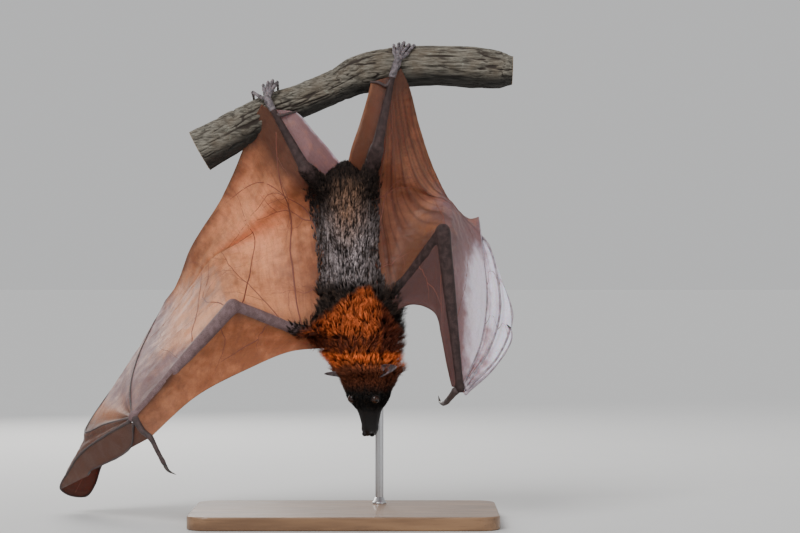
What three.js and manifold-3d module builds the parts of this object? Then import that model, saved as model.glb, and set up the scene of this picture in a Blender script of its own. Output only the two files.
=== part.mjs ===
// A large fruit bat hanging head down by both feet from a cut length of branch, seen from its
// back, with its right wing spread and its left wing half folded. The branch is carried by a
// bent steel rod on a flat wooden base. Millimetres, +Z up, the bat's back towards -Y, the
// origin on the underside of the base.
import * as THREE from 'three';
import { mergeVertices } from 'three/addons/utils/BufferGeometryUtils.js';
import Module from 'manifold-3d';

const wasm = await Module();
wasm.setup();

const P = (x, y, z) => new THREE.Vector3(x, y, z);
const mix = (a, b, t) => a + (b - a) * t;

// ---- Driving dimensions, mm ----
const GAP = 0.3; // clearance between neighbouring solids
const SKIN = 0.7; // thickness of every wing membrane
const WELD = 0.001; // points closer than this are one
const SHORTEST = 0.02; // edges shorter than this are drawn together
const BASE = { width: 360, depth: 216, height: 16, corner: 26, bevel: 2 };
// The rod stands in the base by its foot and enters the perch as far as its tip
const ROD = { radius: 5, x: 40, y: 62, foot: 8, bendFrom: 478, bend: 24, meetsPerchZ: 531, tipY: 8 };
const PERCH_RIDGES = { count: 5, depth: 0.9, twist: 5 };
const EYE_RADIUS = 5.2;
const HEAD_ROLL = 0.42; // the crown is rolled towards the bat's right
// An ear leaf: its reach out of and into the fur, its width, and its curl at root and tip
const EAR = { length: 27, root: 7, width: 15, tipWidth: 0.6, rootCurl: 1.8, tipCurl: 1.1 };
const EAR_WAYS = { // the way that each ear points, and the way across it
  right: { axis: P(-0.95, 0.22, -0.1), broad: P(0, -0.86, 0.5) },
  left: { axis: P(0.66, -0.6, 0.24), broad: P(0.1, 0.3, 0.95) },
};

// Furred sections of the body from the rump down to the nape:
// height, centre across, half width, centre in depth, half depth
const BODY_SECTIONS = [
  [424, 1, 7, -3, 7],
  [413, -1, 24, -6, 16],
  [402, -4, 34, -7, 22],
  [388, -1, 34, -7, 26],
  [374, 0, 31.5, -6, 28],
  [345, 4, 30.5, -4, 30],
  [316, 6, 30, -3, 31],
  [288, 8, 33, -2, 34],
  [267, 12, 41, -2, 38],
  [245, 16, 48, -2, 41],
  [225, 17, 50, -3, 41],
  [203, 20, 47, -5, 38],
  [190, 24, 43, -7, 35],
  [180, 27, 38, -9, 32],
];
// Cuts between pelvis, trunk, chest and neck, and heights beyond both ends
const CUTS = { top: 440, rump: 372, waist: 290, nape: 208, bottom: 150 };
const BEYOND = 700; // wider than the body each way

// Head sections from the nape to the nose: distance along the head, half width,
// reach to the crown side, reach to the throat side, centre offset to the throat side
const HEAD_TOP = P(27.5, -9.5, 180);
const HEAD_SECTIONS = [
  [GAP, 36, 28, 31, 0],
  [8, 34, 24, 28, 0],
  [15, 32, 22.5, 26, 0],
  [25, 28, 21.5, 23, 0],
  [33, 25, 20, 21, 0.5],
  [40, 20, 17, 18, 1.5],
  [47, 15, 13.5, 15.5, 2.5],
  [55, 12.4, 10.5, 13.5, 3.5],
  [64, 10, 8.6, 12, 4],
  [72, 9, 7.6, 10.5, 4],
  [76.5, 7.6, 5.4, 7.5, 4],
  [78.5, 3.5, 2.6, 3.4, 4],
];
// The mouth along the head, the depth of its cleft at both ends, and the space round the jaw
const MOUTH = { from: 30, to: 120, corner: 12, front: 5.6, below: 60, across: 100 };
// Eyes and ears in the head's own terms: along, angle round from the crown, distance out
const EYE_PLACE = { along: 33.5, angle: 0.86, out: 19.5 };
const EAR_PLACE = { along: 2, angle: 1.02, out: 26 };

// The perch: points of its axis with the radius at each
const PERCH_AXIS = [
  [P(-171, 0, 438), 26], [P(-128.6, 0, 461.5), 24.5], [P(-107.4, 0, 473), 23.5],
  [P(-79, 0, 487), 21.8], [P(-55.5, 0, 495.6), 20.6], [P(-23.6, 0, 508.6), 20],
  [P(-6, 0, 516.5), 20.2], [P(12, 0, 525.5), 23], [P(30.7, 0, 531), 25],
  [P(61.4, 0, 536.5), 24.8], [P(109.7, 0, 538.5), 24], [P(153.4, 0, 536), 24.8],
  [P(183, 0, 533.5), 22.5], [P(197, 0, 533), 17.5],
];

// Skeleton of each side: joints from shoulder to fingertips and from hip to toes
const SIDES = {
  right: {
    arm: [P(-12, -8, 236), P(-45, -24, 227), P(-127.7, -68, 256), P(-242.2, -76, 128.4)],
    thumb: [P(-240, -77.5, 127), P(-231, -80, 113), P(-221.7, -82, 105.2), P(-213, -83.5, 89),
      P(-206, -84, 76)],
    thumbClaw: [P(-206, -84, 76), P(-201, -83.5, 67.5), P(-192.5, -80, 62.5)],
    digit5: [P(-243, -75, 130), P(-250.5, -24, 160), P(-247, 32, 194), P(-238, 74, 222.3),
      P(-227.3, 108, 248.7)],
    digit4: [P(-245, -74.5, 127), P(-280.2, -16, 116.6), P(-310.4, 35, 105.6),
      P(-276.4, 77, 162.9), P(-238.7, 112, 217.7)],
    digit3: [P(-246, -75, 123.5), P(-280.5, -24, 103.5), P(-314.6, 28, 79.6),
      P(-334, 67, 56), P(-349.4, 107, 29.6), P(-339, 116.5, 21), P(-320, 120, 20),
      P(-309, 116, 34), P(-298, 106, 68), P(-284, 98, 102)],
    digit2: [P(-241.5, -77, 120), P(-247, -52, 93), P(-294, 18, 63.5), P(-304, 30, 58),
      P(-308, 35, 51.5)],
    freeEdge: [P(-227.3, 108, 248.7), P(-206.7, 96, 278.5), P(-188.8, 72, 321.4),
      P(-148, 30, 381.9), P(-120.5, -2, 438), P(-113, -10, 461), P(-97, -26, 491)],
    leadingEdge: [P(-18, -10, 206), P(-64.9, -30, 201.6), P(-111.7, -47, 182.4),
      P(-170.1, -65, 151.9), P(-221.7, -82, 105.2)],
    leg: [P(-14, -8, 384), P(-45, -47, 415), P(-84.3, -30, 485.5)],
    foot: P(-89.5, -28.5, 496),
    flank: [P(-97, -26, 491), P(-84.3, -30, 482), P(-45, -47, 415), P(-22, -18, 388),
      P(-16, -18, 345), P(-12, -18, 300), P(-14, -16, 262), P(-12, -8, 236)],
    toes: [
      [P(-99, -21, 500.5), P(-108, -14, 506)], [P(-94.5, -21, 509), P(-96, -13, 514.5)],
      [P(-90.5, -20, 512.5), P(-90.5, -12, 518)], [P(-86.5, -19, 515), P(-85, -11, 520)],
      [P(-82.5, -20, 513), P(-79.5, -12, 518)]],
    calcar: [P(-83.5, -31, 482.5), P(-76, -33.5, 477.5), P(-66.3, -32.5, 480), P(-57, -28, 482.5)],
    tailEdge: [P(2, 0, 414), P(-19.8, -9, 441), P(-36.1, -17, 459.4), P(-50.2, -25, 477),
      P(-57, -28, 482.5)],
  },
  left: {
    arm: [P(40, -8, 246), P(60, -18, 268), P(114.3, -77, 342.3), P(134.1, -68, 161.4)],
    thumb: [P(129, -67, 158), P(122, -50, 148), P(117.5, -33, 142), P(115.5, -23, 141)],
    thumbClaw: [P(115.5, -23, 141), P(112, -14, 142.5), P(110, -10, 149.5)],
    digit5: [P(137, -66, 166), P(158.5, -26, 209.7), P(167.8, 20, 264.1), P(165.2, 53, 311.7),
      P(160.3, 81, 361.5)],
    digit4: [P(140, -66, 164), P(170, -22, 206), P(184, 24, 256), P(171, 58, 328),
      P(146, 102, 352)],
    digit3: [P(142, -67.5, 160.5), P(179.5, -26, 195.6), P(198, 20, 242.5), P(189, 46, 277),
      P(175, 68, 308), P(160, 92, 262), P(146, 113, 210)],
    digit2: [P(141, -70, 155.5), P(173, -42, 182), P(196, -6, 215), P(196, 2, 227),
      P(191, 6, 233)],
    freeEdge: [P(160.3, 81, 361.5), P(149.6, 76, 359.3), P(128.6, 56, 376.6),
      P(106.6, 26, 414.6), P(88.5, -4, 464.7), P(76, -21, 511), P(66, -31, 533)],
    leadingEdge: [P(46, -10, 236), P(70.7, -36, 255), P(90.4, -54, 256.5), P(106, -67, 246.7),
      P(112, -73, 222.6), P(119, -72, 186), P(124.5, -68, 163)],
    leg: [P(23, -8, 390), P(38.2, -47, 438.5), P(56, -31.5, 524)],
    foot: P(62, -30.5, 541),
    flank: [P(66, -31, 533), P(56.5, -31.5, 521), P(38.2, -47, 438.5), P(26, -20, 396),
      P(24, -18, 345), P(26, -18, 300), P(34, -16, 268), P(40, -8, 246)],
    toes: [
      [P(58.5, -25, 551), P(57.5, -15, 561)], [P(62, -24, 554.5), P(63.5, -14, 563)],
      [P(65.5, -24, 556), P(69.5, -13.5, 564.5)], [P(69, -23.5, 553.5), P(75.5, -13, 562)],
      [P(72, -24, 549.5), P(81, -14, 561)]],
    calcar: [P(55.5, -33, 521), P(49, -35, 512.5), P(39.2, -33.5, 516.5), P(31, -30, 517)],
    tailEdge: [P(2, 0, 414), P(7.2, -8, 438.7), P(16.8, -17, 466.5), P(26.3, -26, 497.4),
      P(31, -30, 517)],
  },
};
// Behind each toe's top: where the toe bends down, its claw's root and its claw's tip
const TOE_BENDS = [P(0, 13, -3.5), P(0, 22, -9), P(0, 25.5, -19.5)];
const TOE_ROOT = 0.15; // share of the way from the foot's end to the knuckle
const BONE_RADII = {
  upperArm: [19, 15, 9.5, 8.5], forearm: [8.5, 7.6, 5.8, 4.6], wrist: 6.4,
  thumb: [4.2, 3.4, 2.7, 2.4], claw: [2.3, 1.8, 0.5],
  digit5: [3.2, 2.2, 2.1, 1.6, 0.9], digit4: [3, 2.1, 2.1, 1.4, 0.9],
  digit3: [3, 2.1, 2.1, 1.5, 0.9], digit2: [2.9, 1.8, 1.5, 0.7],
  thigh: [17, 12, 8.6], shin: [8, 6, 4.2], toe: [3, 2.8, 2.5, 1.8, 0.6], calcar: [2.4, 1.8, 1.2],
  foot: [4.4, 5.6],
};

const ELBOW = 2; // place of the elbow in each arm's joints
const WRIST_FROM = 0.985; // share of the forearm at which the wrist begins
// Where wrist, mid palm, knuckle, first joint, mid fingertip and tip lie in each hand ray
const STRAIGHT_RAY = [0, 1, 2, 3, 3.5, 4];
const HAND_JOINTS = {
  right: {
    digit5: STRAIGHT_RAY, digit4: STRAIGHT_RAY, digit3: [0, 1, 2, 4, 6, 9], digit2: [0, 1, 2, 4],
  },
  left: {
    digit5: STRAIGHT_RAY, digit4: STRAIGHT_RAY, digit3: [0, 1, 2, 4, 5, 6], digit2: [0, 1, 2, 4],
  },
};
const RAY_STEPS = 10; // rows along each hand ray, two to each stretch
const WEB_START = 0.07; // share of the rays at which a hand membrane begins
// share of the third ray that the leading membrane runs along
const PALM_SHARE = { right: 0.6, left: 0.42 };
const BILLOW = { side: 4, arm: 3, ring: 4, middle: 3 }; // how far the membranes belly out

const COLOURS = {
  oak: 0x8a5f3a, steel: 0x9a9c9f, bark: 0x6f675c, eye: 0x120a06, face: 0x231612,
  backFur: 0x3a2a22, mantle: 0xb4521a, nape: 0xc8501c, foot: 0x6f6468, wingSkin: 0x7d4a36,
  bone: 0x4a352e, claw: 0x2b2626,
};
// The limb pieces of a side in the order in which they are cut clear of each other
const LIMB_COLOURS = {
  wrist: COLOURS.bone, thigh: COLOURS.backFur, shin: COLOURS.bone, calcar: COLOURS.bone,
  upper_arm: COLOURS.bone, forearm: COLOURS.bone, thumb: COLOURS.foot, thumb_claw: COLOURS.claw,
  digit5: COLOURS.bone, digit4: COLOURS.bone, digit3: COLOURS.bone, digit2: COLOURS.bone,
};

// ---- Building blocks ----

const END = 0.499; // beyond this from its middle, a point of a unit block is on its end
const ON_AXIS = 1e-6; // nearer than this to its axis, a point is the pole of a round
const BACK_GROUP = 5; // the group of a block's faces that look along -Z

// Moves every vertex of a three.js geometry through place(position), and keeps only positions
function reshape(geometry, place) {
  const shape = geometry.clone();
  shape.deleteAttribute('normal');
  shape.deleteAttribute('uv');
  const points = shape.attributes.position;
  const point = P(0, 0, 0);
  for (let i = 0; i < points.count; i += 1) {
    point.fromBufferAttribute(points, i);
    const moved = place(point);
    points.setXYZ(i, moved.x, moved.y, moved.z);
  }
  return mergeVertices(shape, WELD);
}

function solidOf(geometry) {
  const { position } = geometry.attributes;
  const mesh = new wasm.Mesh({
    numProp: 3,
    vertProperties: new Float32Array(position.array),
    triVerts: new Uint32Array(geometry.index.array),
  });
  const solid = new wasm.Manifold(mesh);
  return solid.volume() < 0 ? new wasm.Manifold(turnedOut(mesh)) : solid;
}

function turnedOut(mesh) {
  const triVerts = mesh.triVerts.slice();
  for (let i = 0; i < triVerts.length; i += 3) {
    [triVerts[i + 1], triVerts[i + 2]] = [triVerts[i + 2], triVerts[i + 1]];
  }
  return new wasm.Mesh({ numProp: 3, vertProperties: mesh.vertProperties, triVerts });
}

// A value read from an evenly spaced list
function along(list, t) {
  const place = Math.min(Math.max(t, 0), 1) * (list.length - 1);
  const index = Math.min(Math.floor(place), list.length - 2);
  return mix(list[index], list[index + 1], place - index);
}

const BACKWARD = P(0, -1, 0); // the way that the bat's back faces
const ACROSS = P(1, 0, 0);
const curveOf = (points) => new THREE.CatmullRomCurve3(points, false, 'centripetal');

// A round limb along a path with a list of radii, closed by rounded ends
function limb(path, radii, { sides = 8, steps = 8, caps = 1, up = BACKWARD, grow = 0 } = {}) {
  const rows = steps + 2 * caps;
  const ball = new THREE.SphereGeometry(1, sides, rows);
  return reshape(ball, (point) => {
    const row = Math.round((Math.acos(Math.min(Math.max(point.y, -1), 1)) / Math.PI) * rows);
    const t = Math.min(Math.max((row - caps) / steps, 0), 1);
    const capped = row < caps ? caps - row : Math.max(row - caps - steps, 0);
    const swing = (capped / caps) * (Math.PI / 2);
    const ahead = path.getPoint(Math.min(t + 0.5 / steps, 1));
    const tangent = ahead.sub(path.getPoint(Math.max(t - 0.5 / steps, 0))).normalize();
    const side = P(0, 0, 0).crossVectors(tangent, up).normalize();
    const top = P(0, 0, 0).crossVectors(side, tangent).normalize();
    const outward = Math.hypot(point.x, point.z) > ON_AXIS ? Math.atan2(point.z, point.x) : 0;
    const radius = along(radii, t) + grow;
    const reach = radius * (capped === caps ? 0 : Math.cos(swing));
    return path.getPoint(t)
      .addScaledVector(side, Math.cos(outward) * reach)
      .addScaledVector(top, Math.sin(outward) * reach)
      .addScaledVector(tangent, radius * Math.sin(swing) * (row < caps ? -1 : 1));
  });
}

// A loft through sections [t, ...sizes] with a frame for each, closed flat at both ends
function loft(sections, place, { sides = 20, steps = 16, grow = 0 } = {}) {
  const tube = new THREE.CylinderGeometry(1, 1, 1, sides, steps);
  return reshape(tube, (point) => {
    const t = 0.5 - point.y;
    const at = t * (sections.length - 1);
    const index = Math.min(Math.floor(at), sections.length - 2);
    const next = sections[index + 1];
    const section = sections[index].map((value, k) => mix(value, next[k], at - index));
    const radius = Math.hypot(point.x, point.z);
    const angle = radius > ON_AXIS ? Math.atan2(point.z, point.x) : 0;
    const end = Math.abs(point.y) > END ? -Math.sign(point.y) * grow : 0;
    return place(section, angle, radius, grow, end);
  });
}

// A thin slab whose back folds along the same diagonals as its front, so that a twist keeps
// the two apart
function slabOf(across, down) {
  const slab = new THREE.BoxGeometry(1, 1, 1, across, down, 1);
  const { start, count } = slab.groups[BACK_GROUP];
  for (let i = start; i < start + count; i += 6) {
    const [a, b, d, , c] = [0, 1, 2, 3, 4].map((k) => slab.index.getX(i + k));
    [a, b, c, a, c, d].forEach((vertex, k) => slab.index.setX(i + k, vertex));
  }
  return slab;
}

// A thin curved sheet through surface(s, t), half its thickness each side. Its edges draw back
// by the inset of the bone that they meet, read along the edge: at s = 0, s = 1 and t = 1
function sheet(surface, { across, down, inset = {}, grow = 0 }) {
  const { start = () => 0, end = () => 0, top = () => 0 } = inset;
  const slab = slabOf(across, down);
  const wide = 1 / across; // one cell of the grid each way, to read the slope of the sheet
  const long = 1 / down;
  const drawn = (x, low, high) => {
    if (x < -END) return low - grow;
    return x > END ? grow - high : 0;
  };
  return reshape(slab, (point) => {
    const s = Math.min(Math.max(point.x + 0.5, 0), 1);
    const t = Math.min(Math.max(point.y + 0.5, 0), 1);
    const ds = surface(Math.min(s + wide, 1), t).sub(surface(Math.max(s - wide, 0), t));
    const dt = surface(s, Math.min(t + long, 1)).sub(surface(s, Math.max(t - long, 0)));
    const normal = P(0, 0, 0).crossVectors(ds, dt).normalize();
    return surface(s, t)
      .addScaledVector(normal, Math.sign(point.z) * (SKIN / 2 + grow))
      .addScaledVector(ds.normalize(), drawn(point.x, start(t), end(t)))
      .addScaledVector(dt.normalize(), drawn(point.y, 0, top(s)));
  });
}

// The sheet stretched over four curves: inner and outer edges, free edge and bone edge
function stretched(free, bone, inner, outer, billow = 0) {
  return (s, t) => {
    const a = free.getPoint(s);
    const b = bone.getPoint(s);
    const c = inner.getPoint(t);
    const d = outer.getPoint(t);
    const point = a.multiplyScalar(1 - t).addScaledVector(b, t)
      .addScaledVector(c, 1 - s).addScaledVector(d, s);
    point.addScaledVector(free.getPoint(0), -(1 - s) * (1 - t));
    point.addScaledVector(free.getPoint(1), -s * (1 - t));
    point.addScaledVector(bone.getPoint(0), -(1 - s) * t);
    point.addScaledVector(bone.getPoint(1), -s * t);
    point.y += billow * Math.sin(Math.PI * s) * Math.sin(Math.PI * t);
    return point;
  };
}

// The sheet ruled between two rays of the hand or leg, begun where they stand clear of each other
const ruled = (one, other, { hollow = 0, from = 0 } = {}) => (s, t) => {
  const place = Math.max(t, from);
  const point = one.getPoint(place).lerp(other.getPoint(place), s);
  point.y += hollow * Math.sin(Math.PI * s) * Math.sin(Math.PI * place);
  return point;
};

// ---- The pieces ----

function bodyWhole(grow = 0) {
  const rows = BODY_SECTIONS;
  return solidOf(loft(rows, ([z, x, halfWidth, y, halfDepth], angle, radius, more) => P(
    x + Math.cos(angle) * radius * (halfWidth + more),
    y + Math.sin(angle) * radius * (halfDepth + more),
    z,
  ), { sides: 12, steps: rows.length - 1, grow }));
}

// Keeps the stretch of a solid between two heights
function between(solid, low, high) {
  const slab = new THREE.BoxGeometry(BEYOND, BEYOND, high - low).translate(0, 0, (low + high) / 2);
  return solid.intersect(solidOf(reshape(slab, (point) => point)));
}

// A point of the head: distance along, reach across and reach towards the crown
function headPoint(distance, across, crown) {
  return P(across, -crown, -distance)
    .applyAxisAngle(P(0, 0, 1), -HEAD_ROLL)
    .add(HEAD_TOP);
}

function headWhole(grow = 0) {
  return solidOf(loft(HEAD_SECTIONS, (section, angle, radius, more, end) => {
    const [distance, halfWidth, crownReach, throatReach, offset] = section;
    const reach = Math.sin(angle) > 0 ? crownReach : throatReach;
    return headPoint(
      distance + end,
      Math.cos(angle) * radius * (halfWidth + more),
      Math.sin(angle) * radius * (reach + more) - offset,
    );
  }, { sides: 12, steps: HEAD_SECTIONS.length - 1, grow }));
}

// The wedge of space on the throat side of the mouth, in which the lower jaw lies
function jawSpace(grow = 0) {
  const block = new THREE.BoxGeometry(1, 1, 1);
  return solidOf(reshape(block, (point) => {
    const distance = point.z > 0 ? MOUTH.from - grow : MOUTH.to;
    const cleft = point.z > 0 ? MOUTH.corner : MOUTH.front;
    const crown = point.y > 0 ? grow - cleft : -MOUTH.below;
    return headPoint(distance, point.x * MOUTH.across, crown);
  }));
}

function eye(side, grow = 0) {
  const { along: distance, angle, out } = EYE_PLACE;
  const turn = side === 'right' ? -angle : angle;
  const centre = headPoint(distance, Math.sin(turn) * out, Math.cos(turn) * out);
  const ball = new THREE.SphereGeometry(EYE_RADIUS + grow, 8, 5);
  return solidOf(reshape(ball, (point) => point.clone().add(centre)));
}

function ear(side, grow = 0) {
  const turn = side === 'right' ? -1 : 1;
  const { along: distance, angle, out } = EAR_PLACE;
  const root = headPoint(distance, Math.sin(turn * angle) * out, Math.cos(angle) * out);
  const axis = EAR_WAYS[side].axis.clone().normalize();
  const across = EAR_WAYS[side].broad.clone();
  const broad = across.addScaledVector(axis, -across.dot(axis)).normalize();
  const hollow = P(0, 0, 0).crossVectors(axis, broad).multiplyScalar(turn);
  const leaf = (s, t) => {
    const swell = Math.max(Math.sin(Math.PI * mix(0.3, 1, t)), 0) ** 0.8;
    const width = EAR.width * swell + EAR.tipWidth;
    const curl = mix(EAR.rootCurl, EAR.tipCurl, t);
    const bend = (s - 0.5) * curl;
    return root.clone()
      .addScaledVector(axis, mix(-EAR.root, EAR.length, t))
      .addScaledVector(broad, (Math.sin(bend) / curl) * width)
      .addScaledVector(hollow, ((1 - Math.cos(bend)) / curl) * width);
  };
  return solidOf(sheet(leaf, { across: 3, down: 5, grow }));
}

function foot(side, grow = 0) {
  const { leg, foot: ball, toes } = SIDES[side];
  const ankle = leg[leg.length - 1];
  const instep = new THREE.LineCurve3(ankle, ball);
  let whole = solidOf(limb(instep, BONE_RADII.foot, { sides: 6, steps: 2, grow }));
  for (const [knuckle, over] of toes) {
    const root = ball.clone().lerp(knuckle, TOE_ROOT);
    const bends = TOE_BENDS.map((bend) => over.clone().add(bend));
    const spine = curveOf([root, knuckle, over, ...bends]);
    whole = whole.add(solidOf(limb(spine, BONE_RADII.toe, { sides: 5, steps: 5, up: ACROSS, grow })));
  }
  return whole;
}

function perch(grow = 0) {
  const axis = curveOf(PERCH_AXIS.map(([point]) => point));
  const radii = PERCH_AXIS.map(([, radius]) => radius);
  const { count, depth, twist } = PERCH_RIDGES;
  const tube = new THREE.CylinderGeometry(1, 1, 1, 3 * count, 9);
  return solidOf(reshape(tube, (point) => {
    const t = 0.5 - point.y;
    const centre = axis.getPoint(t);
    const tangent = axis.getTangent(t);
    const side = P(0, 1, 0);
    const top = P(0, 0, 0).crossVectors(side, tangent).normalize();
    const radius = Math.hypot(point.x, point.z);
    const angle = radius > ON_AXIS ? Math.atan2(point.z, point.x) : 0;
    const ridge = (Math.cos(angle * count + t * twist) - 1) * depth;
    const reach = radius > ON_AXIS ? along(radii, t) + ridge + grow : 0;
    return centre.clone()
      .addScaledVector(side, Math.cos(angle) * reach)
      .addScaledVector(top, Math.sin(angle) * reach);
  }));
}

function standRod() {
  const { x, y, foot: sunk, bendFrom, bend, meetsPerchZ, tipY } = ROD;
  const low = P(x, y, bendFrom);
  const high = P(x, y - bend, meetsPerchZ);
  const path = new THREE.CurvePath();
  path.add(new THREE.LineCurve3(P(x, y, BASE.height - sunk), low));
  path.add(new THREE.QuadraticBezierCurve3(low, P(x, y, meetsPerchZ), high));
  path.add(new THREE.LineCurve3(high, P(x, tipY, meetsPerchZ)));
  const round = new THREE.Shape().absarc(0, 0, ROD.radius, 0, Math.PI * 2);
  const rod = new THREE.ExtrudeGeometry(round, { steps: 15, curveSegments: 4, extrudePath: path });
  return solidOf(reshape(rod, (point) => point));
}

function standBase() {
  const { width, depth, height, corner, bevel } = BASE;
  const halfWidth = width / 2 - bevel;
  const halfDepth = depth / 2 - bevel;
  const outline = new THREE.Shape();
  outline.absarc(halfWidth - corner, halfDepth - corner, corner, 0, Math.PI / 2);
  outline.absarc(corner - halfWidth, halfDepth - corner, corner, Math.PI / 2, Math.PI);
  outline.absarc(corner - halfWidth, corner - halfDepth, corner, Math.PI, Math.PI * 1.5);
  outline.absarc(halfWidth - corner, corner - halfDepth, corner, Math.PI * 1.5, Math.PI * 2);
  const plate = new THREE.ExtrudeGeometry(outline, {
    depth: height - 2 * bevel, bevelThickness: bevel, bevelSize: bevel, bevelSegments: 1,
    curveSegments: 3,
  });
  plate.translate(0, 0, bevel);
  return solidOf(reshape(plate, (point) => point));
}

// A hand ray read from joint to joint, so that rays of unlike length share their knuckles
function rayOf(points, joints) {
  const curve = curveOf(points);
  return {
    getPoint: (t) => {
      const place = along(joints, t) / (points.length - 1);
      return curve.getPoint(Math.min(Math.max(place, 0), 1));
    },
  };
}

// A curve read by its length
const evenly = (curve) => ({ getPoint: (t) => curve.getPointAt(t) });

// Two stretches of one limb on end, parted at a share of its parameter
const twoBones = (first, second, parting) => ({
  getPoint: (t) => (t < parting
    ? first.getPoint(t / parting)
    : second.getPoint(Math.min((t - parting) / (1 - parting), 1))),
});
const twoRadii = (first, second, parting) => (t) => GAP + (t < parting
  ? along(first, t / parting)
  : along(second, (t - parting) / (1 - parting)));

function raysOf(side) {
  const joints = HAND_JOINTS[side];
  return Object.fromEntries(Object.keys(joints).map(
    (digit) => [digit, rayOf(SIDES[side][digit], joints[digit])],
  ));
}

function limbPieces(side) {
  const s = SIDES[side];
  const r = BONE_RADII;
  const upper = curveOf(s.arm.slice(0, ELBOW + 1));
  const lower = curveOf(s.arm.slice(ELBOW));
  const [hip, knee, ankle] = s.leg;
  const wristBone = new THREE.LineCurve3(lower.getPointAt(WRIST_FROM), lower.getPointAt(1));
  const hand = raysOf(side);
  const made = (path, radii, options) => (grow) => solidOf(limb(path, radii, { ...options, grow }));
  return {
    upper_arm: made(upper, r.upperArm, { sides: 10, steps: 4, caps: 2 }),
    forearm: made(lower, r.forearm, { sides: 7, steps: 4 }),
    wrist: made(wristBone, [r.wrist, r.wrist], { sides: 8, steps: 1, caps: 2 }),
    thumb: made(curveOf(s.thumb), r.thumb, { sides: 5, steps: 4 }),
    thumb_claw: made(curveOf(s.thumbClaw), r.claw, { sides: 5, steps: 4 }),
    digit5: made(hand.digit5, r.digit5, { sides: 4, steps: RAY_STEPS }),
    digit4: made(hand.digit4, r.digit4, { sides: 4, steps: RAY_STEPS }),
    digit3: made(hand.digit3, r.digit3, { sides: 4, steps: RAY_STEPS }),
    digit2: made(hand.digit2, r.digit2, { sides: 5, steps: 4 }),
    thigh: made(new THREE.LineCurve3(hip, knee), r.thigh, { sides: 8, steps: 3, caps: 2 }),
    shin: made(new THREE.LineCurve3(knee, ankle), r.shin, { sides: 8, steps: 3 }),
    calcar: made(curveOf(s.calcar), r.calcar, { sides: 5, steps: 3 }),
  };
}

// Each membrane: its surface, its grid, and how far its edges draw back from the bones
function webPieces(side) {
  const s = SIDES[side];
  const r = BONE_RADII;
  const hand = raysOf(side);
  const elbowShare = ELBOW / (s.arm.length - 1);
  const [hip, knee, ankle] = s.leg;
  const arm = twoBones(curveOf(s.arm.slice(0, ELBOW + 1)), curveOf(s.arm.slice(ELBOW)), elbowShare);
  const leg = twoBones(new THREE.LineCurve3(hip, knee), new THREE.LineCurve3(knee, ankle), 0.5);
  const free = curveOf([...s.freeEdge].reverse());
  const fifthFromTip = { getPoint: (t) => hand.digit5.getPoint(1 - t) };
  const lead = curveOf(s.leadingEdge);
  const neckEnd = new THREE.LineCurve3(s.leadingEdge[0], s.arm[0]);
  const thumbEnd = new THREE.LineCurve3(s.leadingEdge.at(-1), s.arm.at(-1));
  const palm = { getPoint: (t) => hand.digit3.getPoint(t * PALM_SHARE[side]) };
  const clearOf = (radii, share = 1) => (t) => along(radii, t * share) + GAP;
  const armed = twoRadii(r.upperArm, r.forearm, elbowShare);
  const legged = twoRadii(r.thigh, r.shin, 0.5);
  const web = (one, other, radiiOne, radiiOther, hollow) => [
    ruled(one, other, { hollow, from: WEB_START }),
    { across: 2, down: RAY_STEPS, inset: { start: clearOf(radiiOne), end: clearOf(radiiOther) } },
  ];
  return {
    side_membrane: [stretched(free, arm, evenly(curveOf(s.flank)), fifthFromTip, BILLOW.side),
      { across: 9, down: RAY_STEPS,
        inset: { end: (t) => clearOf(r.digit5)(1 - t), top: armed } }],
    arm_membrane: [stretched(lead, arm, neckEnd, thumbEnd, BILLOW.arm),
      { across: 9, down: 2, inset: { top: armed } }],
    tail_membrane: [ruled(curveOf(s.tailEdge), leg), { across: 1, down: 6, inset: { end: legged } }],
    hand_membrane_5_4: web(hand.digit5, hand.digit4, r.digit5, r.digit4, BILLOW.ring),
    hand_membrane_4_3: web(hand.digit4, hand.digit3, r.digit4, r.digit3, BILLOW.middle),
    hand_membrane_3_2: [ruled(palm, hand.digit2, { from: WEB_START }), { across: 1, down: 6,
      inset: { start: clearOf(r.digit3, PALM_SHARE[side]), end: clearOf(r.digit2) } }],
  };
}

// ---- Parting the whole into its named pieces ----

// Keeps the largest closed piece of a cut solid
const largestPiece = (solid) => solid.decompose()
  .reduce((best, next) => (next.volume() > best.volume() ? next : best));

// The geometry of a solid, with points closer than a weld joined
function geometryOf(solid) {
  const { vertProperties, triVerts } = solid.getMesh();
  const geometry = new THREE.BufferGeometry();
  geometry.setAttribute('position', new THREE.BufferAttribute(vertProperties, 3));
  geometry.setIndex(new THREE.BufferAttribute(triVerts, 1));
  return mergeVertices(geometry, WELD);
}

function boundsMeet(a, b) {
  const one = a.boundingBox();
  const other = b.boundingBox();
  return [0, 1, 2].every((k) => one.min[k] < other.max[k] && other.min[k] < one.max[k]);
}

const bat = new THREE.Group();
const taken = []; // the space of each finished piece with its clearance

// Cuts a piece clear of every piece made before it, names it and adds it to the bat
function place(name, colour, roughness, make, metalness = 0) {
  let solid = make(0);
  for (const space of taken) {
    if (boundsMeet(solid, space)) solid = solid.subtract(space);
  }
  taken.push(make(GAP));
  const cut = geometryOf(largestPiece(solid).simplify(SHORTEST));
  const geometry = geometryOf(largestPiece(solidOf(cut)).simplify(SHORTEST));
  const material = new THREE.MeshStandardMaterial({ color: colour, roughness, metalness });
  const mesh = new THREE.Mesh(geometry, material);
  mesh.name = name;
  bat.add(mesh);
}

const bothSides = (run) => ['right', 'left'].forEach(run);

place('stand_base', COLOURS.oak, 0.5, standBase);
place('stand_rod', COLOURS.steel, 0.3, standRod, 1);
place('perch', COLOURS.bark, 0.9, perch);

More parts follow.
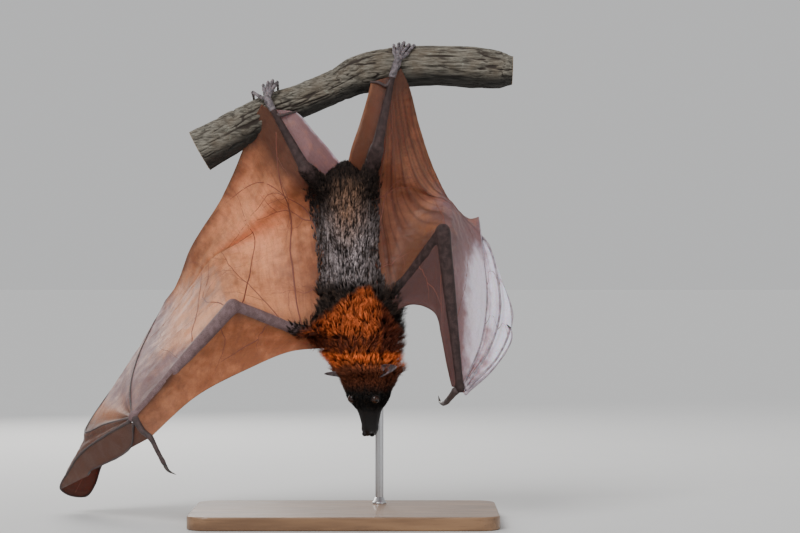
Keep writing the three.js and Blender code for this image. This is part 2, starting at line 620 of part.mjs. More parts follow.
bothSides((side) => place(`eye_${side}`, COLOURS.eye, 0.15, (g) => eye(side, g)));
place('lower_jaw', COLOURS.face, 0.8, (g) => headWhole(g).intersect(jawSpace(g)));
place('head', COLOURS.face, 0.8, (g) => headWhole(g).subtract(jawSpace(GAP - g)));

place('pelvis', COLOURS.backFur, 0.9, (g) => between(bodyWhole(g), CUTS.rump - g, CUTS.top));
place('trunk', COLOURS.backFur, 0.9, (g) => between(bodyWhole(g), CUTS.waist - g, CUTS.rump + g));
place('chest', COLOURS.mantle, 0.9, (g) => between(bodyWhole(g), CUTS.nape - g, CUTS.waist + g));
place('neck', COLOURS.nape, 0.9, (g) => between(bodyWhole(g), CUTS.bottom, CUTS.nape + g));

bothSides((side) => place(`ear_${side}`, COLOURS.wingSkin, 0.6, (g) => ear(side, g)));

bothSides((side) => {
  place(`foot_${side}`, COLOURS.foot, 0.6, (g) => foot(side, g));
  const limbs = limbPieces(side);
  for (const [name, colour] of Object.entries(LIMB_COLOURS)) {
    place(`${name}_${side}`, colour, 0.6, limbs[name]);
  }
});
bothSides((side) => {
  for (const [name, [surface, shape]] of Object.entries(webPieces(side))) {
    place(`${name}_${side}`, COLOURS.wingSkin, 0.6,
      (grow) => solidOf(sheet(surface, { ...shape, grow })));
  }
});

export default bat;
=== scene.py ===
import math

import bpy
import numpy as np
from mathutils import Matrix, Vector


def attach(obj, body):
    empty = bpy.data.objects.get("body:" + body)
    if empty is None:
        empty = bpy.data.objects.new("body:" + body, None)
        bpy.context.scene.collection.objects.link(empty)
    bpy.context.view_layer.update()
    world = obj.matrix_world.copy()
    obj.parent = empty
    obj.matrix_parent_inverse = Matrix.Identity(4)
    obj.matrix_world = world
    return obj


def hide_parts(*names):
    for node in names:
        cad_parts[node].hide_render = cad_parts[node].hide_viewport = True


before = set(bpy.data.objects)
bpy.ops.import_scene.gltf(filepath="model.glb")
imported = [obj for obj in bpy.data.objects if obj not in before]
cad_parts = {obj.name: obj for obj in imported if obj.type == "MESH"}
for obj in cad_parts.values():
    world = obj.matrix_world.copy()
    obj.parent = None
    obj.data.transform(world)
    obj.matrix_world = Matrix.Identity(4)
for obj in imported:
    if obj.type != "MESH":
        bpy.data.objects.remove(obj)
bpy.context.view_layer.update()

# A large fruit bat hanging head down from a cut length of branch, on a display stand.
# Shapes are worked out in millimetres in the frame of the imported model, and each mesh is
# written in metres with its place in its vertices. Bare numbers in a line that shapes
# something are places, widths and heights in millimetres, or shares from 0 to 1.

MM = 0.001
UP = np.array([0.0, 0.0, 1.0])
AWAY = np.array([0.0, -1.0, 0.0])


# ---- The bat's sizes, mm ----

SKIN = 0.6  # thickness of a wing membrane
EYE_RADIUS = 5.2
EAR = {"length": 27.0, "width": 15.0}
EAR_AXIS = {"right": (-0.95, 0.22, -0.1), "left": (0.66, -0.6, 0.24)}  # from root to tip
EAR_BROAD = {"right": (0.0, -0.86, 0.5), "left": (0.1, 0.3, 0.95)}  # across the leaf
HEAD_ROLL = 0.42
HEAD_TOP = np.array([27.5, -9.5, 180.0])
BODY_SECTIONS = [
    [424, 1, 7, -3, 7],
    [413, -1, 24, -6, 16],
    [402, -4, 34, -7, 22],
    [388, -1, 34, -7, 26],
    [374, 0, 31.5, -6, 28],
    [345, 4, 30.5, -4, 30],
    [316, 6, 30, -3, 31],
    [288, 8, 33, -2, 34],
    [267, 12, 41, -2, 38],
    [245, 16, 48, -2, 41],
    [225, 17, 50, -3, 41],
    [203, 20, 47, -5, 38],
    [190, 24, 43, -7, 35],
    [180, 27, 38, -9, 32],
]
HEAD_SECTIONS = [
    [0.3, 36, 28, 31, 0],
    [8, 34, 24, 28, 0],
    [15, 32, 22.5, 26, 0],
    [25, 28, 21.5, 23, 0],
    [33, 25, 20, 21, 0.5],
    [40, 20, 17, 18, 1.5],
    [47, 15, 13.5, 15.5, 2.5],
    [55, 12.4, 10.5, 13.5, 3.5],
    [64, 10, 8.6, 12, 4],
    [72, 9.0, 7.6, 10.5, 4],
    [76.5, 7.6, 5.4, 7.5, 4],
    [78.5, 3.5, 2.6, 3.4, 4],
]
EYE_PLACE = {"along": 33.5, "angle": 0.86, "out": 19.5}
EAR_PLACE = {"along": 2.0, "angle": 1.02, "out": 26.0}
MOUTH = {"from": 30.0, "corner": 12.0, "front": 8.6, "end": 74.0}
PERCH_AXIS = [
    [(-171, 0, 438), 26],
    [(-128.6, 0, 461.5), 24.5],
    [(-107.4, 0, 473), 23.5],
    [(-79, 0, 487), 21.8],
    [(-55.5, 0, 495.6), 20.6],
    [(-23.6, 0, 508.6), 20],
    [(-6, 0, 516.5), 20.2],
    [(12, 0, 525.5), 23],
    [(30.7, 0, 531), 25],
    [(61.4, 0, 536.5), 24.8],
    [(109.7, 0, 538.5), 24],
    [(153.4, 0, 536), 24.8],
    [(183, 0, 533.5), 22.5],
    [(197, 0, 533), 17.5],
]
SIDES = {
    "right": {
        "arm": [(-12, -8, 236), (-45, -24, 227), (-127.7, -68, 256), (-242.2, -76, 128.4)],
        "thumb": [
            (-240, -77.5, 127), (-231, -80, 113), (-221.7, -82, 105.2), (-213, -83.5, 89),
            (-206, -84, 76),
        ],
        "thumb_claw": [(-206, -84, 76), (-201, -83.5, 67.5), (-192.5, -80, 62.5)],
        "digit5": [
            (-243, -75, 130), (-250.5, -24, 160), (-247, 32, 194), (-238, 74, 222.3),
            (-227.3, 108, 248.7),
        ],
        "digit4": [
            (-245, -74.5, 127), (-280.2, -16, 116.6), (-310.4, 35, 105.6), (-276.4, 77, 162.9),
            (-238.7, 112, 217.7),
        ],
        "digit3": [
            (-246, -75, 123.5), (-280.5, -24, 103.5), (-314.6, 28, 79.6), (-334, 67, 56),
            (-349.4, 107, 29.6), (-339, 116.5, 21), (-320, 120, 20), (-309, 116, 34),
            (-298, 106, 68), (-284, 98, 102),
        ],
        "digit2": [
            (-241.5, -77, 120), (-247, -52, 93), (-294, 18, 63.5), (-304, 30, 58),
            (-308, 35, 51.5),
        ],
        "free_edge": [
            (-227.3, 108, 248.7), (-206.7, 96, 278.5), (-188.8, 72, 321.4), (-148, 30, 381.9),
            (-120.5, -2, 438), (-113, -10, 461), (-97, -26, 491),
        ],
        "leading_edge": [
            (-18, -10, 206), (-64.9, -30, 201.6), (-111.7, -47, 182.4), (-170.1, -65, 151.9),
            (-221.7, -82, 105.2),
        ],
        "leg": [(-14, -8, 384), (-45, -47, 415), (-84.3, -30, 485.5)],
        "foot": (-89.5, -28.5, 496),
        "flank": [
            (-97, -26, 491), (-84.3, -30, 482), (-45, -47, 415), (-22, -18, 388), (-16, -18, 345),
            (-12, -18, 300), (-14, -16, 262), (-12, -8, 236),
        ],
        "toes": [
            [(-99, -21, 500.5), (-108, -14, 506)],
            [(-94.5, -21, 509), (-96, -13, 514.5)],
            [(-90.5, -20, 512.5), (-90.5, -12, 518)],
            [(-86.5, -19, 515), (-85, -11, 520)],
            [(-82.5, -20, 513), (-79.5, -12, 518)],
        ],
        "calcar": [
            (-83.5, -31, 482.5), (-76, -33.5, 477.5), (-66.3, -32.5, 480), (-57, -28, 482.5),
        ],
        "tail_edge": [
            (2, 0, 414), (-19.8, -9, 441), (-36.1, -17, 459.4), (-50.2, -25, 477),
            (-57, -28, 482.5),
        ],
    },
    "left": {
        "arm": [(40, -8, 246), (60, -18, 268), (114.3, -77, 342.3), (134.1, -68, 161.4)],
        "thumb": [(129, -67, 158), (122, -50, 148), (117.5, -33, 142), (115.5, -23, 141)],
        "thumb_claw": [(115.5, -23, 141), (112, -14, 142.5), (110, -10, 149.5)],
        "digit5": [
            (137, -66, 166), (158.5, -26, 209.7), (167.8, 20, 264.1), (165.2, 53, 311.7),
            (160.3, 81, 361.5),
        ],
        "digit4": [
            (140, -66, 164), (170, -22, 206), (184, 24, 256), (171, 58, 328), (146, 102, 352),
        ],
        "digit3": [
            (142, -67.5, 160.5), (179.5, -26, 195.6), (198, 20, 242.5), (189, 46, 277),
            (175, 68, 308), (160, 92, 262), (146, 113, 210),
        ],
        "digit2": [
            (141, -70, 155.5), (173, -42, 182), (196, -6, 215), (196, 2, 227), (191, 6, 233),
        ],
        "free_edge": [
            (160.3, 81, 361.5), (149.6, 76, 359.3), (128.6, 56, 376.6), (106.6, 26, 414.6),
            (88.5, -4, 464.7), (76, -21, 511), (66, -31, 533),
        ],
        "leading_edge": [
            (46, -10, 236), (70.7, -36, 255), (90.4, -54, 256.5), (106, -67, 246.7),
            (112, -73, 222.6), (119, -72, 186), (124.5, -68, 163),
        ],
        "leg": [(23, -8, 390), (38.2, -47, 438.5), (56, -31.5, 524)],
        "foot": (62, -30.5, 541),
        "flank": [
            (66, -31, 533), (56.5, -31.5, 521), (38.2, -47, 438.5), (26, -20, 396),
            (24, -18, 345), (26, -18, 300), (34, -16, 268), (40, -8, 246),
        ],
        "toes": [
            [(58.5, -25, 551), (57.5, -15, 561)],
            [(62, -24, 554.5), (63.5, -14, 563)],
            [(65.5, -24, 556), (69.5, -13.5, 564.5)],
            [(69, -23.5, 553.5), (75.5, -13, 562)],
            [(72, -24, 549.5), (81, -14, 561)],
        ],
        "calcar": [(55.5, -33, 521), (49, -35, 512.5), (39.2, -33.5, 516.5), (31, -30, 517)],
        "tail_edge": [
            (2, 0, 414), (7.2, -8, 438.7), (16.8, -17, 466.5), (26.3, -26, 497.4), (31, -30, 517),
        ],
    },
}
BONE_RADII = {
    "upper_arm": [19, 15, 9.5, 8.5],
    "forearm": [8.5, 7.6, 5.8, 4.6],
    "wrist": [5.6, 6.2],
    "thumb": [4.2, 3.4, 2.7, 2.4],
    "thumb_claw": [2.2, 2.3, 1.7, 1.0, 0.25],
    "digit5": [3.2, 2.2, 2.1, 1.6, 0.9],
    "digit4": [3, 2.1, 2.1, 1.4, 0.9],
    "digit3": [3, 2.1, 2.1, 1.5, 0.9],
    "digit2": [2.9, 1.8, 1.5, 0.7],
    "finger_claw": [1.3, 1.1, 0.3],
    "thigh": [17, 12, 8.6],
    "shin": [8, 6, 4.2],
    "calcar": [2.4, 1.8, 1.2],
    "foot": [4.2, 4.2, 4.9, 4.0],
    "toe": [1.9, 2.05, 1.95, 1.6, 1.4],
    "toe_claw": [1.45, 1.6, 1.25, 0.8, 0.2],
}
VOXEL = 1.76  # grid on which trunk and limbs run together
LEAST_HALF = 2.5  # of the trunk under its coat
BLADES = {"height": 236, "tall": 22, "out": 0.55, "broad": 0.25}  # the shoulder blades
LEG_HEIGHT = 340  # a limb above this height is a leg
# From where a toe bends over the perch to its joints behind and the tip of its claw
TOE_HOOK = [(0, 0, 0), (0, 13, -3.5), (0, 22, -9), (0, 25.5, -19.5)]
TOE_END, TOE_CLAW_FROM = 0.66, 0.6  # shares of a toe's path
FINGER_CLAW_FROM = 0.88  # share of the second digit
NOSTRIL = [(75.6, 4.7, 0.4), (78.6, 7.4, 2.8)]  # its middle, and what it points at
# The glow of light through the right side membrane: its middle and its reach
GLOW = {"x": -112, "z": 338, "wide": 52, "tall": 84}

ELBOW = 2  # place of the elbow in each arm
# Where wrist, mid palm, knuckle, first joint, mid fingertip and tip lie in each hand ray
STRAIGHT_RAY = [0, 1, 2, 3, 3.5, 4]
SECOND_RAY = [0, 1, 2, 4]
HAND_JOINTS = {
    side: {"digit5": STRAIGHT_RAY, "digit4": STRAIGHT_RAY, "digit3": third, "digit2": SECOND_RAY}
    for side, third in (("right", [0, 1, 2, 4, 6, 9]), ("left", [0, 1, 2, 4, 5, 6]))
}
PALM_SHARE = {"right": 0.6, "left": 0.42}  # of the third ray, under the leading web


# ---- Numbers and curves ----


def ease(value, low, high):
    """A smooth rise from 0 at low to 1 at high."""
    share = np.clip((value - low) / (high - low), 0, 1)
    return share * share * (3 - 2 * share)


def mix(a, b, share):
    """A value part of the way from a to b."""
    return a + (b - a) * share


def unit(vectors):
    """Vectors brought to length 1."""
    return vectors / np.maximum(np.linalg.norm(vectors, axis=-1, keepdims=True), 1e-9)


def hump(value, width):
    """A smooth hump of height 1 where a value is 0, that dies away over a width."""
    return np.exp(-((value / width) ** 2))


def listed(values, share):
    """A value read from an evenly spaced list."""
    return np.interp(np.clip(share, 0, 1) * (len(values) - 1), np.arange(len(values)), values)


def noise(points, size, seed=0):
    """Smooth noise from -1 to 1 with lumps of a given size."""
    place = np.asarray(points, float) / size + seed * 17.31
    cell = np.floor(place).astype(np.int64)
    part = place - cell
    part = part * part * (3 - 2 * part)
    total = 0.0
    for corner in range(8):
        step = np.array([corner & 1, corner >> 1 & 1, corner >> 2 & 1])
        key = (cell + step) * np.array([73856093, 19349663, 83492791])
        code = (key[..., 0] ^ key[..., 1] ^ key[..., 2]) & 0x7FFFFFFF
        code = (code * 1103515245 + 12345) & 0x7FFFFFFF
        value = ((code >> 8) & 0xFFFF) / 32767.5 - 1
        total = total + value * np.prod(np.where(step, part, 1 - part), axis=-1)
    return total


def rough(points, size, octaves=3, seed=0):
    """Noise with finer noise laid over it."""
    total = 0.0
    for octave in range(octaves):
        total = total + noise(points, size / 2**octave, seed + octave) / 2**octave
    return total


class Curve:
    """A smooth curve through points, read by the share of its points passed."""

    def __init__(self, points):
        knots = np.array(points, float)
        first = 2 * knots[0] - knots[1]
        last = 2 * knots[-1] - knots[-2]
        self.knots = np.vstack([first, knots, last])
        self.count = len(knots)

    def __call__(self, share):
        place = np.clip(np.asarray(share, float), 0, 1) * (self.count - 1)
        index = np.minimum(place.astype(int), self.count - 2)
        w = (place - index)[..., None]
        a, b, c, d = (self.knots[index + k] for k in range(4))
        gaps = [
            np.maximum(np.sum((q - p) ** 2, -1, keepdims=True) ** 0.25, 1e-4)
            for p, q in ((a, b), (b, c), (c, d))
        ]
        start = ((b - a) / gaps[0] - (c - a) / (gaps[0] + gaps[1]) + (c - b) / gaps[1]) * gaps[1]
        end = ((c - b) / gaps[1] - (d - b) / (gaps[1] + gaps[2]) + (d - c) / gaps[2]) * gaps[1]
        return (
            b * (2 * w**3 - 3 * w**2 + 1)
            + start * (w**3 - 2 * w**2 + w)
            + c * (3 * w**2 - 2 * w**3)
            + end * (w**3 - w**2)
        )


def evenly(curve, count=240):
    """The same curve read by the share of its length."""
    steps = np.linspace(0, 1, count)
    gone = np.linalg.norm(np.diff(curve(steps), axis=0), axis=1)
    gone = np.concatenate([[0], np.cumsum(gone)])
    return lambda share: curve(np.interp(np.asarray(share) * gone[-1], gone, steps))


def ray_of(points, joints):
    """A hand ray read from joint to joint."""
    curve = Curve(points)
    return lambda share: curve(listed(joints, share) / (len(points) - 1))


def two_bones(first, second, parting):
    """Two stretches of one limb on end."""

    def read(share):
        share = np.asarray(share, float)
        near = first(np.minimum(share / parting, 1))
        far = second(np.maximum((share - parting) / (1 - parting), 0))
        return np.where((share < parting)[..., None], near, far)

    return read


def rows_of(sections, share):
    """Sizes read smoothly from a table of sections."""
    return Curve([[index * 10.0, *row] for index, row in enumerate(sections)])(share)[..., 1:]


# ---- Meshes ----


def outward(verts, faces):
    """The faces of a closed shape, turned so that they point out."""
    corners = verts[faces]
    cross = np.cross(corners[:, 1] - corners[:, 0], corners[:, 2] - corners[:, 0])
    volume = np.einsum("ij,ij->", corners[:, 0] - verts.mean(0), cross)
    if faces.shape[1] == 4:
        cross = np.cross(corners[:, 2] - corners[:, 0], corners[:, 3] - corners[:, 0])
        volume += np.einsum("ij,ij->", corners[:, 0] - verts.mean(0), cross)
    return faces if volume > 0 else faces[:, ::-1]


class Shape:
    """Closed meshes gathered into one, with values on their points and a map on their faces."""

    def __init__(self):
        self.verts = []
        self.faces = []
        self.values = {}
        self.maps = []
        self.paints = []
        self.count = 0

    def add(self, verts, faces, flat=None, paint=0, **values):
        """Adds one closed mesh, given as points and lists of faces of three or four corners."""
        points = np.asarray(verts, float).reshape(-1, 3)
        for group in faces:
            group = np.asarray(group)
            self.faces.append(group + self.count)
            self.paints.append(np.full(len(group), paint))
            if flat is not None:
                self.maps.append(np.asarray(flat)[group].reshape(-1, 2))
        self.verts.append(points)
        for name, value in values.items():
            self.values.setdefault(name, []).append(np.broadcast_to(value, len(points)))
        self.count += len(points)

    def make(self, name, paints, smooth=True, map_name="Map"):
        """Writes the mesh and its object."""
        mesh = bpy.data.meshes.new(name)
        verts = np.concatenate(self.verts) * MM
        sizes = np.concatenate([np.full(len(group), group.shape[1]) for group in self.faces])
        corners = np.concatenate([group.ravel() for group in self.faces])
        mesh.vertices.add(len(verts))
        mesh.vertices.foreach_set("co", verts.astype(np.float32).ravel())
        mesh.loops.add(len(corners))
        mesh.loops.foreach_set("vertex_index", corners.astype(np.int32))
        mesh.polygons.add(len(sizes))
        starts = np.concatenate([[0], np.cumsum(sizes)[:-1]])
        mesh.polygons.foreach_set("loop_start", starts.astype(np.int32))
        mesh.polygons.foreach_set("loop_total", sizes.astype(np.int32))
        mesh.polygons.foreach_set("use_smooth", np.full(len(sizes), smooth))
        mesh.polygons.foreach_set("material_index", np.concatenate(self.paints).astype(np.int32))
        if self.maps:
            layer = mesh.uv_layers.new(name=map_name)
            layer.data.foreach_set("uv", np.concatenate(self.maps).astype(np.float32).ravel())
        for key, value in self.values.items():
            attribute = mesh.attributes.new(name=key, type="FLOAT", domain="POINT")
            attribute.data.foreach_set("value", np.concatenate(value).astype(np.float32))
        mesh.update(calc_edges=True)
        for paint in paints:
            mesh.materials.append(paint)
        thing = bpy.data.objects.new(name, mesh)
        bpy.context.scene.collection.objects.link(thing)
        return thing


def finish(thing, nodes=()):
    """Hands a piece to the frame, for the nodes that it stands for."""
    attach(thing, "root")
    if nodes:
        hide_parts(*nodes)


def grid_faces(rows, columns, closed):
    """Faces of a grid of points, closed round its columns or open."""
    across = np.arange(columns if closed else columns - 1)
    down = np.arange(rows - 1)[:, None]
    here = down * columns + across
    right = down * columns + (across + 1) % columns
    return np.stack([here, right, right + columns, here + columns], -1).reshape(-1, 4)


def closed_rings(rings):
    """A closed mesh through rings of points, with a point at the middle of each end."""
    rows, columns, _ = rings.shape
    verts = np.vstack([rings.reshape(-1, 3), rings[0].mean(0), rings[-1].mean(0)])
    ring = np.arange(columns)
    after = (ring + 1) % columns
    last = (rows - 1) * columns
    start = np.stack([after, ring, np.full(columns, rows * columns)], -1)
    end = np.stack([last + ring, last + after, np.full(columns, rows * columns + 1)], -1)
    side = grid_faces(rows, columns, True)
    if not np.array_equal(outward(verts, side), side):
        return verts, [side[:, ::-1], start[:, ::-1], end[:, ::-1]]
    return verts, [side, start, end]


def frames_along(path):
    """Tangent, side and top directions along a path, turning as little as they can."""
    ahead = unit(np.gradient(path, axis=0))
    side = np.zeros_like(path)
    helper = AWAY if abs(ahead[0] @ AWAY) < 0.9 else UP
    side[0] = unit(np.cross(ahead[0], helper))
    for index in range(1, len(path)):
        carried = side[index - 1] - ahead[index] * (side[index - 1] @ ahead[index])
        side[index] = unit(carried)
    return ahead, side, np.cross(side, ahead)


def tube(path, radii, sides=12, caps=3):
    """A round rod along a path with a radius at each point, closed by rounded ends."""
    path = np.asarray(path, float)
    radii = np.broadcast_to(np.asarray(radii, float), len(path))
    ahead, side, top = frames_along(path)

    def cap(end, sign):
        swing = np.linspace(0, np.pi / 2, caps + 2)[1:-1]
        reach = [sign * ahead[end] * radii[end] * math.sin(a) for a in swing]
        return [(path[end] + r, end, radii[end] * math.cos(a)) for r, a in zip(reach, swing)]

    along = [(path[i], i, radii[i]) for i in range(len(path))]
    angle = np.linspace(0, 2 * np.pi, sides, endpoint=False)[:, None]
    rings = [
        centre + (np.cos(angle) * side[i] + np.sin(angle) * top[i]) * radius
        for centre, i, radius in cap(0, -1)[::-1] + along + cap(-1, 1)
    ]
    return closed_rings(np.array(rings))


def knobs(share, places, height, width=0.018):
    """Swellings at joints, as a factor on a radius."""
    total = np.ones_like(share)
    for place in places:
        total += height * hump(share - place, width)
    return total


def stretched(free, bone, inner, outer, billow=0.0):
    """The sheet stretched over four curves: free edge, bone, inner edge and outer edge."""

    def read(s, t):
        s1, t1 = s[..., None], t[..., None]
        point = free(s) * (1 - t1) + bone(s) * t1 + inner(t) * (1 - s1) + outer(t) * s1
        point = point - free(0.0) * (1 - s1) * (1 - t1) - free(1.0) * s1 * (1 - t1)
        point = point - bone(0.0) * (1 - s1) * t1 - bone(1.0) * s1 * t1
        point[..., 1] += billow * np.sin(np.pi * s) * np.sin(np.pi * t)
        return point

    return read


def ruled(one, other, hollow=0.0, start=0.0):
    """The sheet ruled between two rays of a hand or leg."""

    def read(s, t):
        place = np.maximum(t, start)
        point = mix(one(place), other(place), s[..., None])
        point[..., 1] += hollow * np.sin(np.pi * s) * np.sin(np.pi * place)
        return point

    return read


def sheet(shape, surface, across, down, thickness, relief=None, marks=None):
    """Adds a thin closed sheet to a shape, raised by a relief, with its marks on its points."""
    s, t = np.meshgrid(np.linspace(0, 1, across + 1), np.linspace(0, 1, down + 1))
    points = surface(s, t)
    normal = unit(np.cross(np.gradient(points, axis=1), np.gradient(points, axis=0)))
    normal[normal[..., 1].mean() * normal[..., 1] < 0] *= -1
    if normal[..., 1].mean() > 0:
        normal = -normal
    if relief is not None:
        points = points + normal * relief(s, t, points)[..., None]
    half = (thickness(s, t) if callable(thickness) else thickness * np.ones_like(s)) / 2
    front = (points + normal * half[..., None]).reshape(-1, 3)
    back = (points - normal * half[..., None]).reshape(-1, 3)
    count = len(front)
    face = grid_faces(down + 1, across + 1, False)
    index = np.arange(count).reshape(down + 1, across + 1)
    rim = np.concatenate([index[0], index[1:, -1], index[-1, -2::-1], index[-2:0:-1, 0]])
    after = np.roll(rim, -1)
    wall = np.stack([after, rim, rim + count, after + count], -1)
    verts = np.vstack([front, back])
    faces = np.concatenate([face, face[:, ::-1] + count, wall])
    corners = verts[face]
    cross = np.cross(corners[:, 1] - corners[:, 0], corners[:, 2] - corners[:, 0])
    if (cross * normal[:-1, :-1].reshape(-1, 3)).sum() < 0:
        faces = faces[:, ::-1]
    flat = np.stack([s.ravel(), t.ravel()], -1)
    values = marks(s, t, points) if marks else {}
    shape.add(
        verts,
        [faces],
        flat=np.vstack([flat, flat]),
        **{key: np.tile(value.ravel(), 2) for key, value in values.items()},
    )
    return points, normal


# ---- Skin of the body, head and limbs ----


def head_point(along, across, crown):
    """A point of the head: distance along it, reach across and reach towards the crown."""
    across, crown = np.asarray(across, float), np.asarray(crown, float)
    cos, sin = math.cos(HEAD_ROLL), math.sin(HEAD_ROLL)
    x = across * cos - crown * sin
    y = -across * sin - crown * cos
    z = -np.asarray(along, float) + 0 * x
    return np.stack([x, y, z], -1) + HEAD_TOP


def in_head(points):
    """Along, across and crown of points of the head."""
    place = points - HEAD_TOP
    cos, sin = math.cos(HEAD_ROLL), math.sin(HEAD_ROLL)
    across = place[..., 0] * cos - place[..., 1] * sin
    crown = -place[..., 0] * sin - place[..., 1] * cos
    return -place[..., 2], across, crown


def coat_depth(z):
    """How far the fur of the body stands over its skin at a height."""
    return 4.5 + 4.5 * ease(z, 330, 270) - 2.5 * ease(z, 200, 178) - 2 * ease(z, 385, 410)


def body_rings(rows=170, columns=112):
    """The trunk from the rump to the nape, drawn in by the depth of its coat."""
    sizes = rows_of(BODY_SECTIONS, np.linspace(0, 1, rows)).T[..., None]
    z, x, half_width, y, half_depth = sizes
    shrink = coat_depth(z)
    angle = np.linspace(0, 2 * np.pi, columns, endpoint=False)[None, :]
    wide = np.maximum(half_width - shrink, LEAST_HALF)
    deep = np.maximum(half_depth - shrink, LEAST_HALF)
    back = np.maximum(-np.sin(angle), 0)
    blades = hump(z - BLADES["height"], BLADES["tall"]) * back
    blades = blades * hump(np.abs(np.cos(angle)) - BLADES["out"], BLADES["broad"])
    spine = hump(np.cos(angle), 0.16) * back * ease(z, 395, 360)
    push = 1 + 0.07 * blades - 0.05 * spine
    return np.stack(
        [x + np.cos(angle) * wide * push, y + np.sin(angle) * deep * push, z + 0 * angle], -1
    )


def arm_of(side):
    """The curves of the upper arm and the forearm."""
    arm = SIDES[side]["arm"]
    return Curve(arm[: ELBOW + 1]), Curve(arm[ELBOW:])


def leg_of(side):
    """The curves of the thigh and the shin."""
    hip, knee, ankle = SIDES[side]["leg"]
    return Curve([hip, knee]), Curve([knee, ankle])


def flesh():
    """One closed skin over trunk, arms and legs, with its joints run together."""
    shape = Shape()
    shape.add(*closed_rings(body_rings()))
    share = np.linspace(0, 1, 40)
    parts = ["upper_arm", "forearm", "thigh", "shin"]
    radii = {part: listed(BONE_RADII[part], share) for part in parts}
    radii["upper_arm"] = radii["upper_arm"] - 3.2 * ease(share, 0.9, 0.3)
    radii["upper_arm"] = radii["upper_arm"] * mix(1.0, 0.86, ease(share, 0.3, 0.8))
    radii["forearm"] = radii["forearm"] * knobs(share, [0.0], 0.06, 0.05)
    radii["thigh"] = radii["thigh"] - 3 * ease(share, 1, 0.4)
    radii["shin"] = radii["shin"] * knobs(share, [0.0, 1.0], 0.12, 0.07) * 0.87
    for side in SIDES:
        for part, bone in zip(parts, arm_of(side) + leg_of(side)):
            shape.add(*tube(bone(share), radii[part], 20, 4))
        lower = arm_of(side)[1]
        wrist = np.array(SIDES[side]["arm"][-1], float)
        near = wrist + unit(lower(0.9) - lower(1.0)) * 4
        shape.add(*tube([near, wrist], BONE_RADII["wrist"], 18, 5))
    raw = shape.make("flesh", [])
    remesh = raw.modifiers.new("Run together", "REMESH")
    remesh.mode = "VOXEL"
    remesh.voxel_size = VOXEL * MM
    soften = raw.modifiers.new("Soften", "SMOOTH")
    soften.factor = 0.5
    soften.iterations = 9
    bpy.context.view_layer.update()
    graph = bpy.context.evaluated_depsgraph_get()
    mesh = bpy.data.meshes.new_from_object(raw.evaluated_get(graph))
    verts = np.zeros(len(mesh.vertices) * 3, np.float32)
    mesh.vertices.foreach_get("co", verts)
    verts = verts.reshape(-1, 3).astype(float) / MM
    corners = np.zeros(len(mesh.loops), np.int32)
    mesh.loops.foreach_get("vertex_index", corners)
    bpy.data.objects.remove(raw)
    bpy.data.meshes.remove(mesh)
    return verts, corners.reshape(-1, 4)


def turned(side, angle, along, out):
    """A point of the head at an angle from the crown, to the side of one eye."""
    turn = angle * (-1 if side == "right" else 1)
    return head_point(along, math.sin(turn) * out, math.cos(turn) * out)


def eye_centre(side):
    """The middle of an eyeball."""
    return turned(side, EYE_PLACE["angle"], EYE_PLACE["along"], EYE_PLACE["out"])


def eye_frame(side):
    """The way that an eye looks, the way along the head to the nose, and across the eye."""
    look = unit(turned(side, EYE_PLACE["angle"], 4.5, 12) - head_point(0, 0, 0))
    forward = unit(-UP - look * (-UP @ look))
    return look, forward, np.cross(look, forward)


# Ridges and creases round the eye: height, place and width
LID_RIDGES = [(0.75, 1.14, 0.16), (-0.5, 1.5, 0.09), (0.3, 1.75, 0.12)]


def lids(points):
    """Draws the skin of the head over each eyeball, open in an almond."""
    for side in SIDES:
        centre = eye_centre(side)
        look, forward, over = eye_frame(side)
        place = points - centre
        distance = np.linalg.norm(place, axis=-1)
        almond = np.sqrt((place @ forward / 4.5) ** 2 + (place @ over / 3.5) ** 2)
        near = ease(distance, 10.5, 6.5) * (place @ look > -1.5)
        shell = EYE_RADIUS + 0.9
        for height, at, width in LID_RIDGES:
            shell = shell + height * hump(almond - at, width)
        target = centre + unit(place) * shell[..., None]
        reach = np.maximum(shell - distance, 0) * ease(distance, 11, 6)
        points = points + unit(place) * reach[..., None]
        within = ease(almond, 1.04, 0.9) * near
        inner = centre + unit(place) * (EYE_RADIUS - 1.4)
        points = mix(points, inner, within[..., None])
        points = mix(points, target, (near * (1 - within) * ease(almond, 1.7, 1.2))[..., None])
    return points


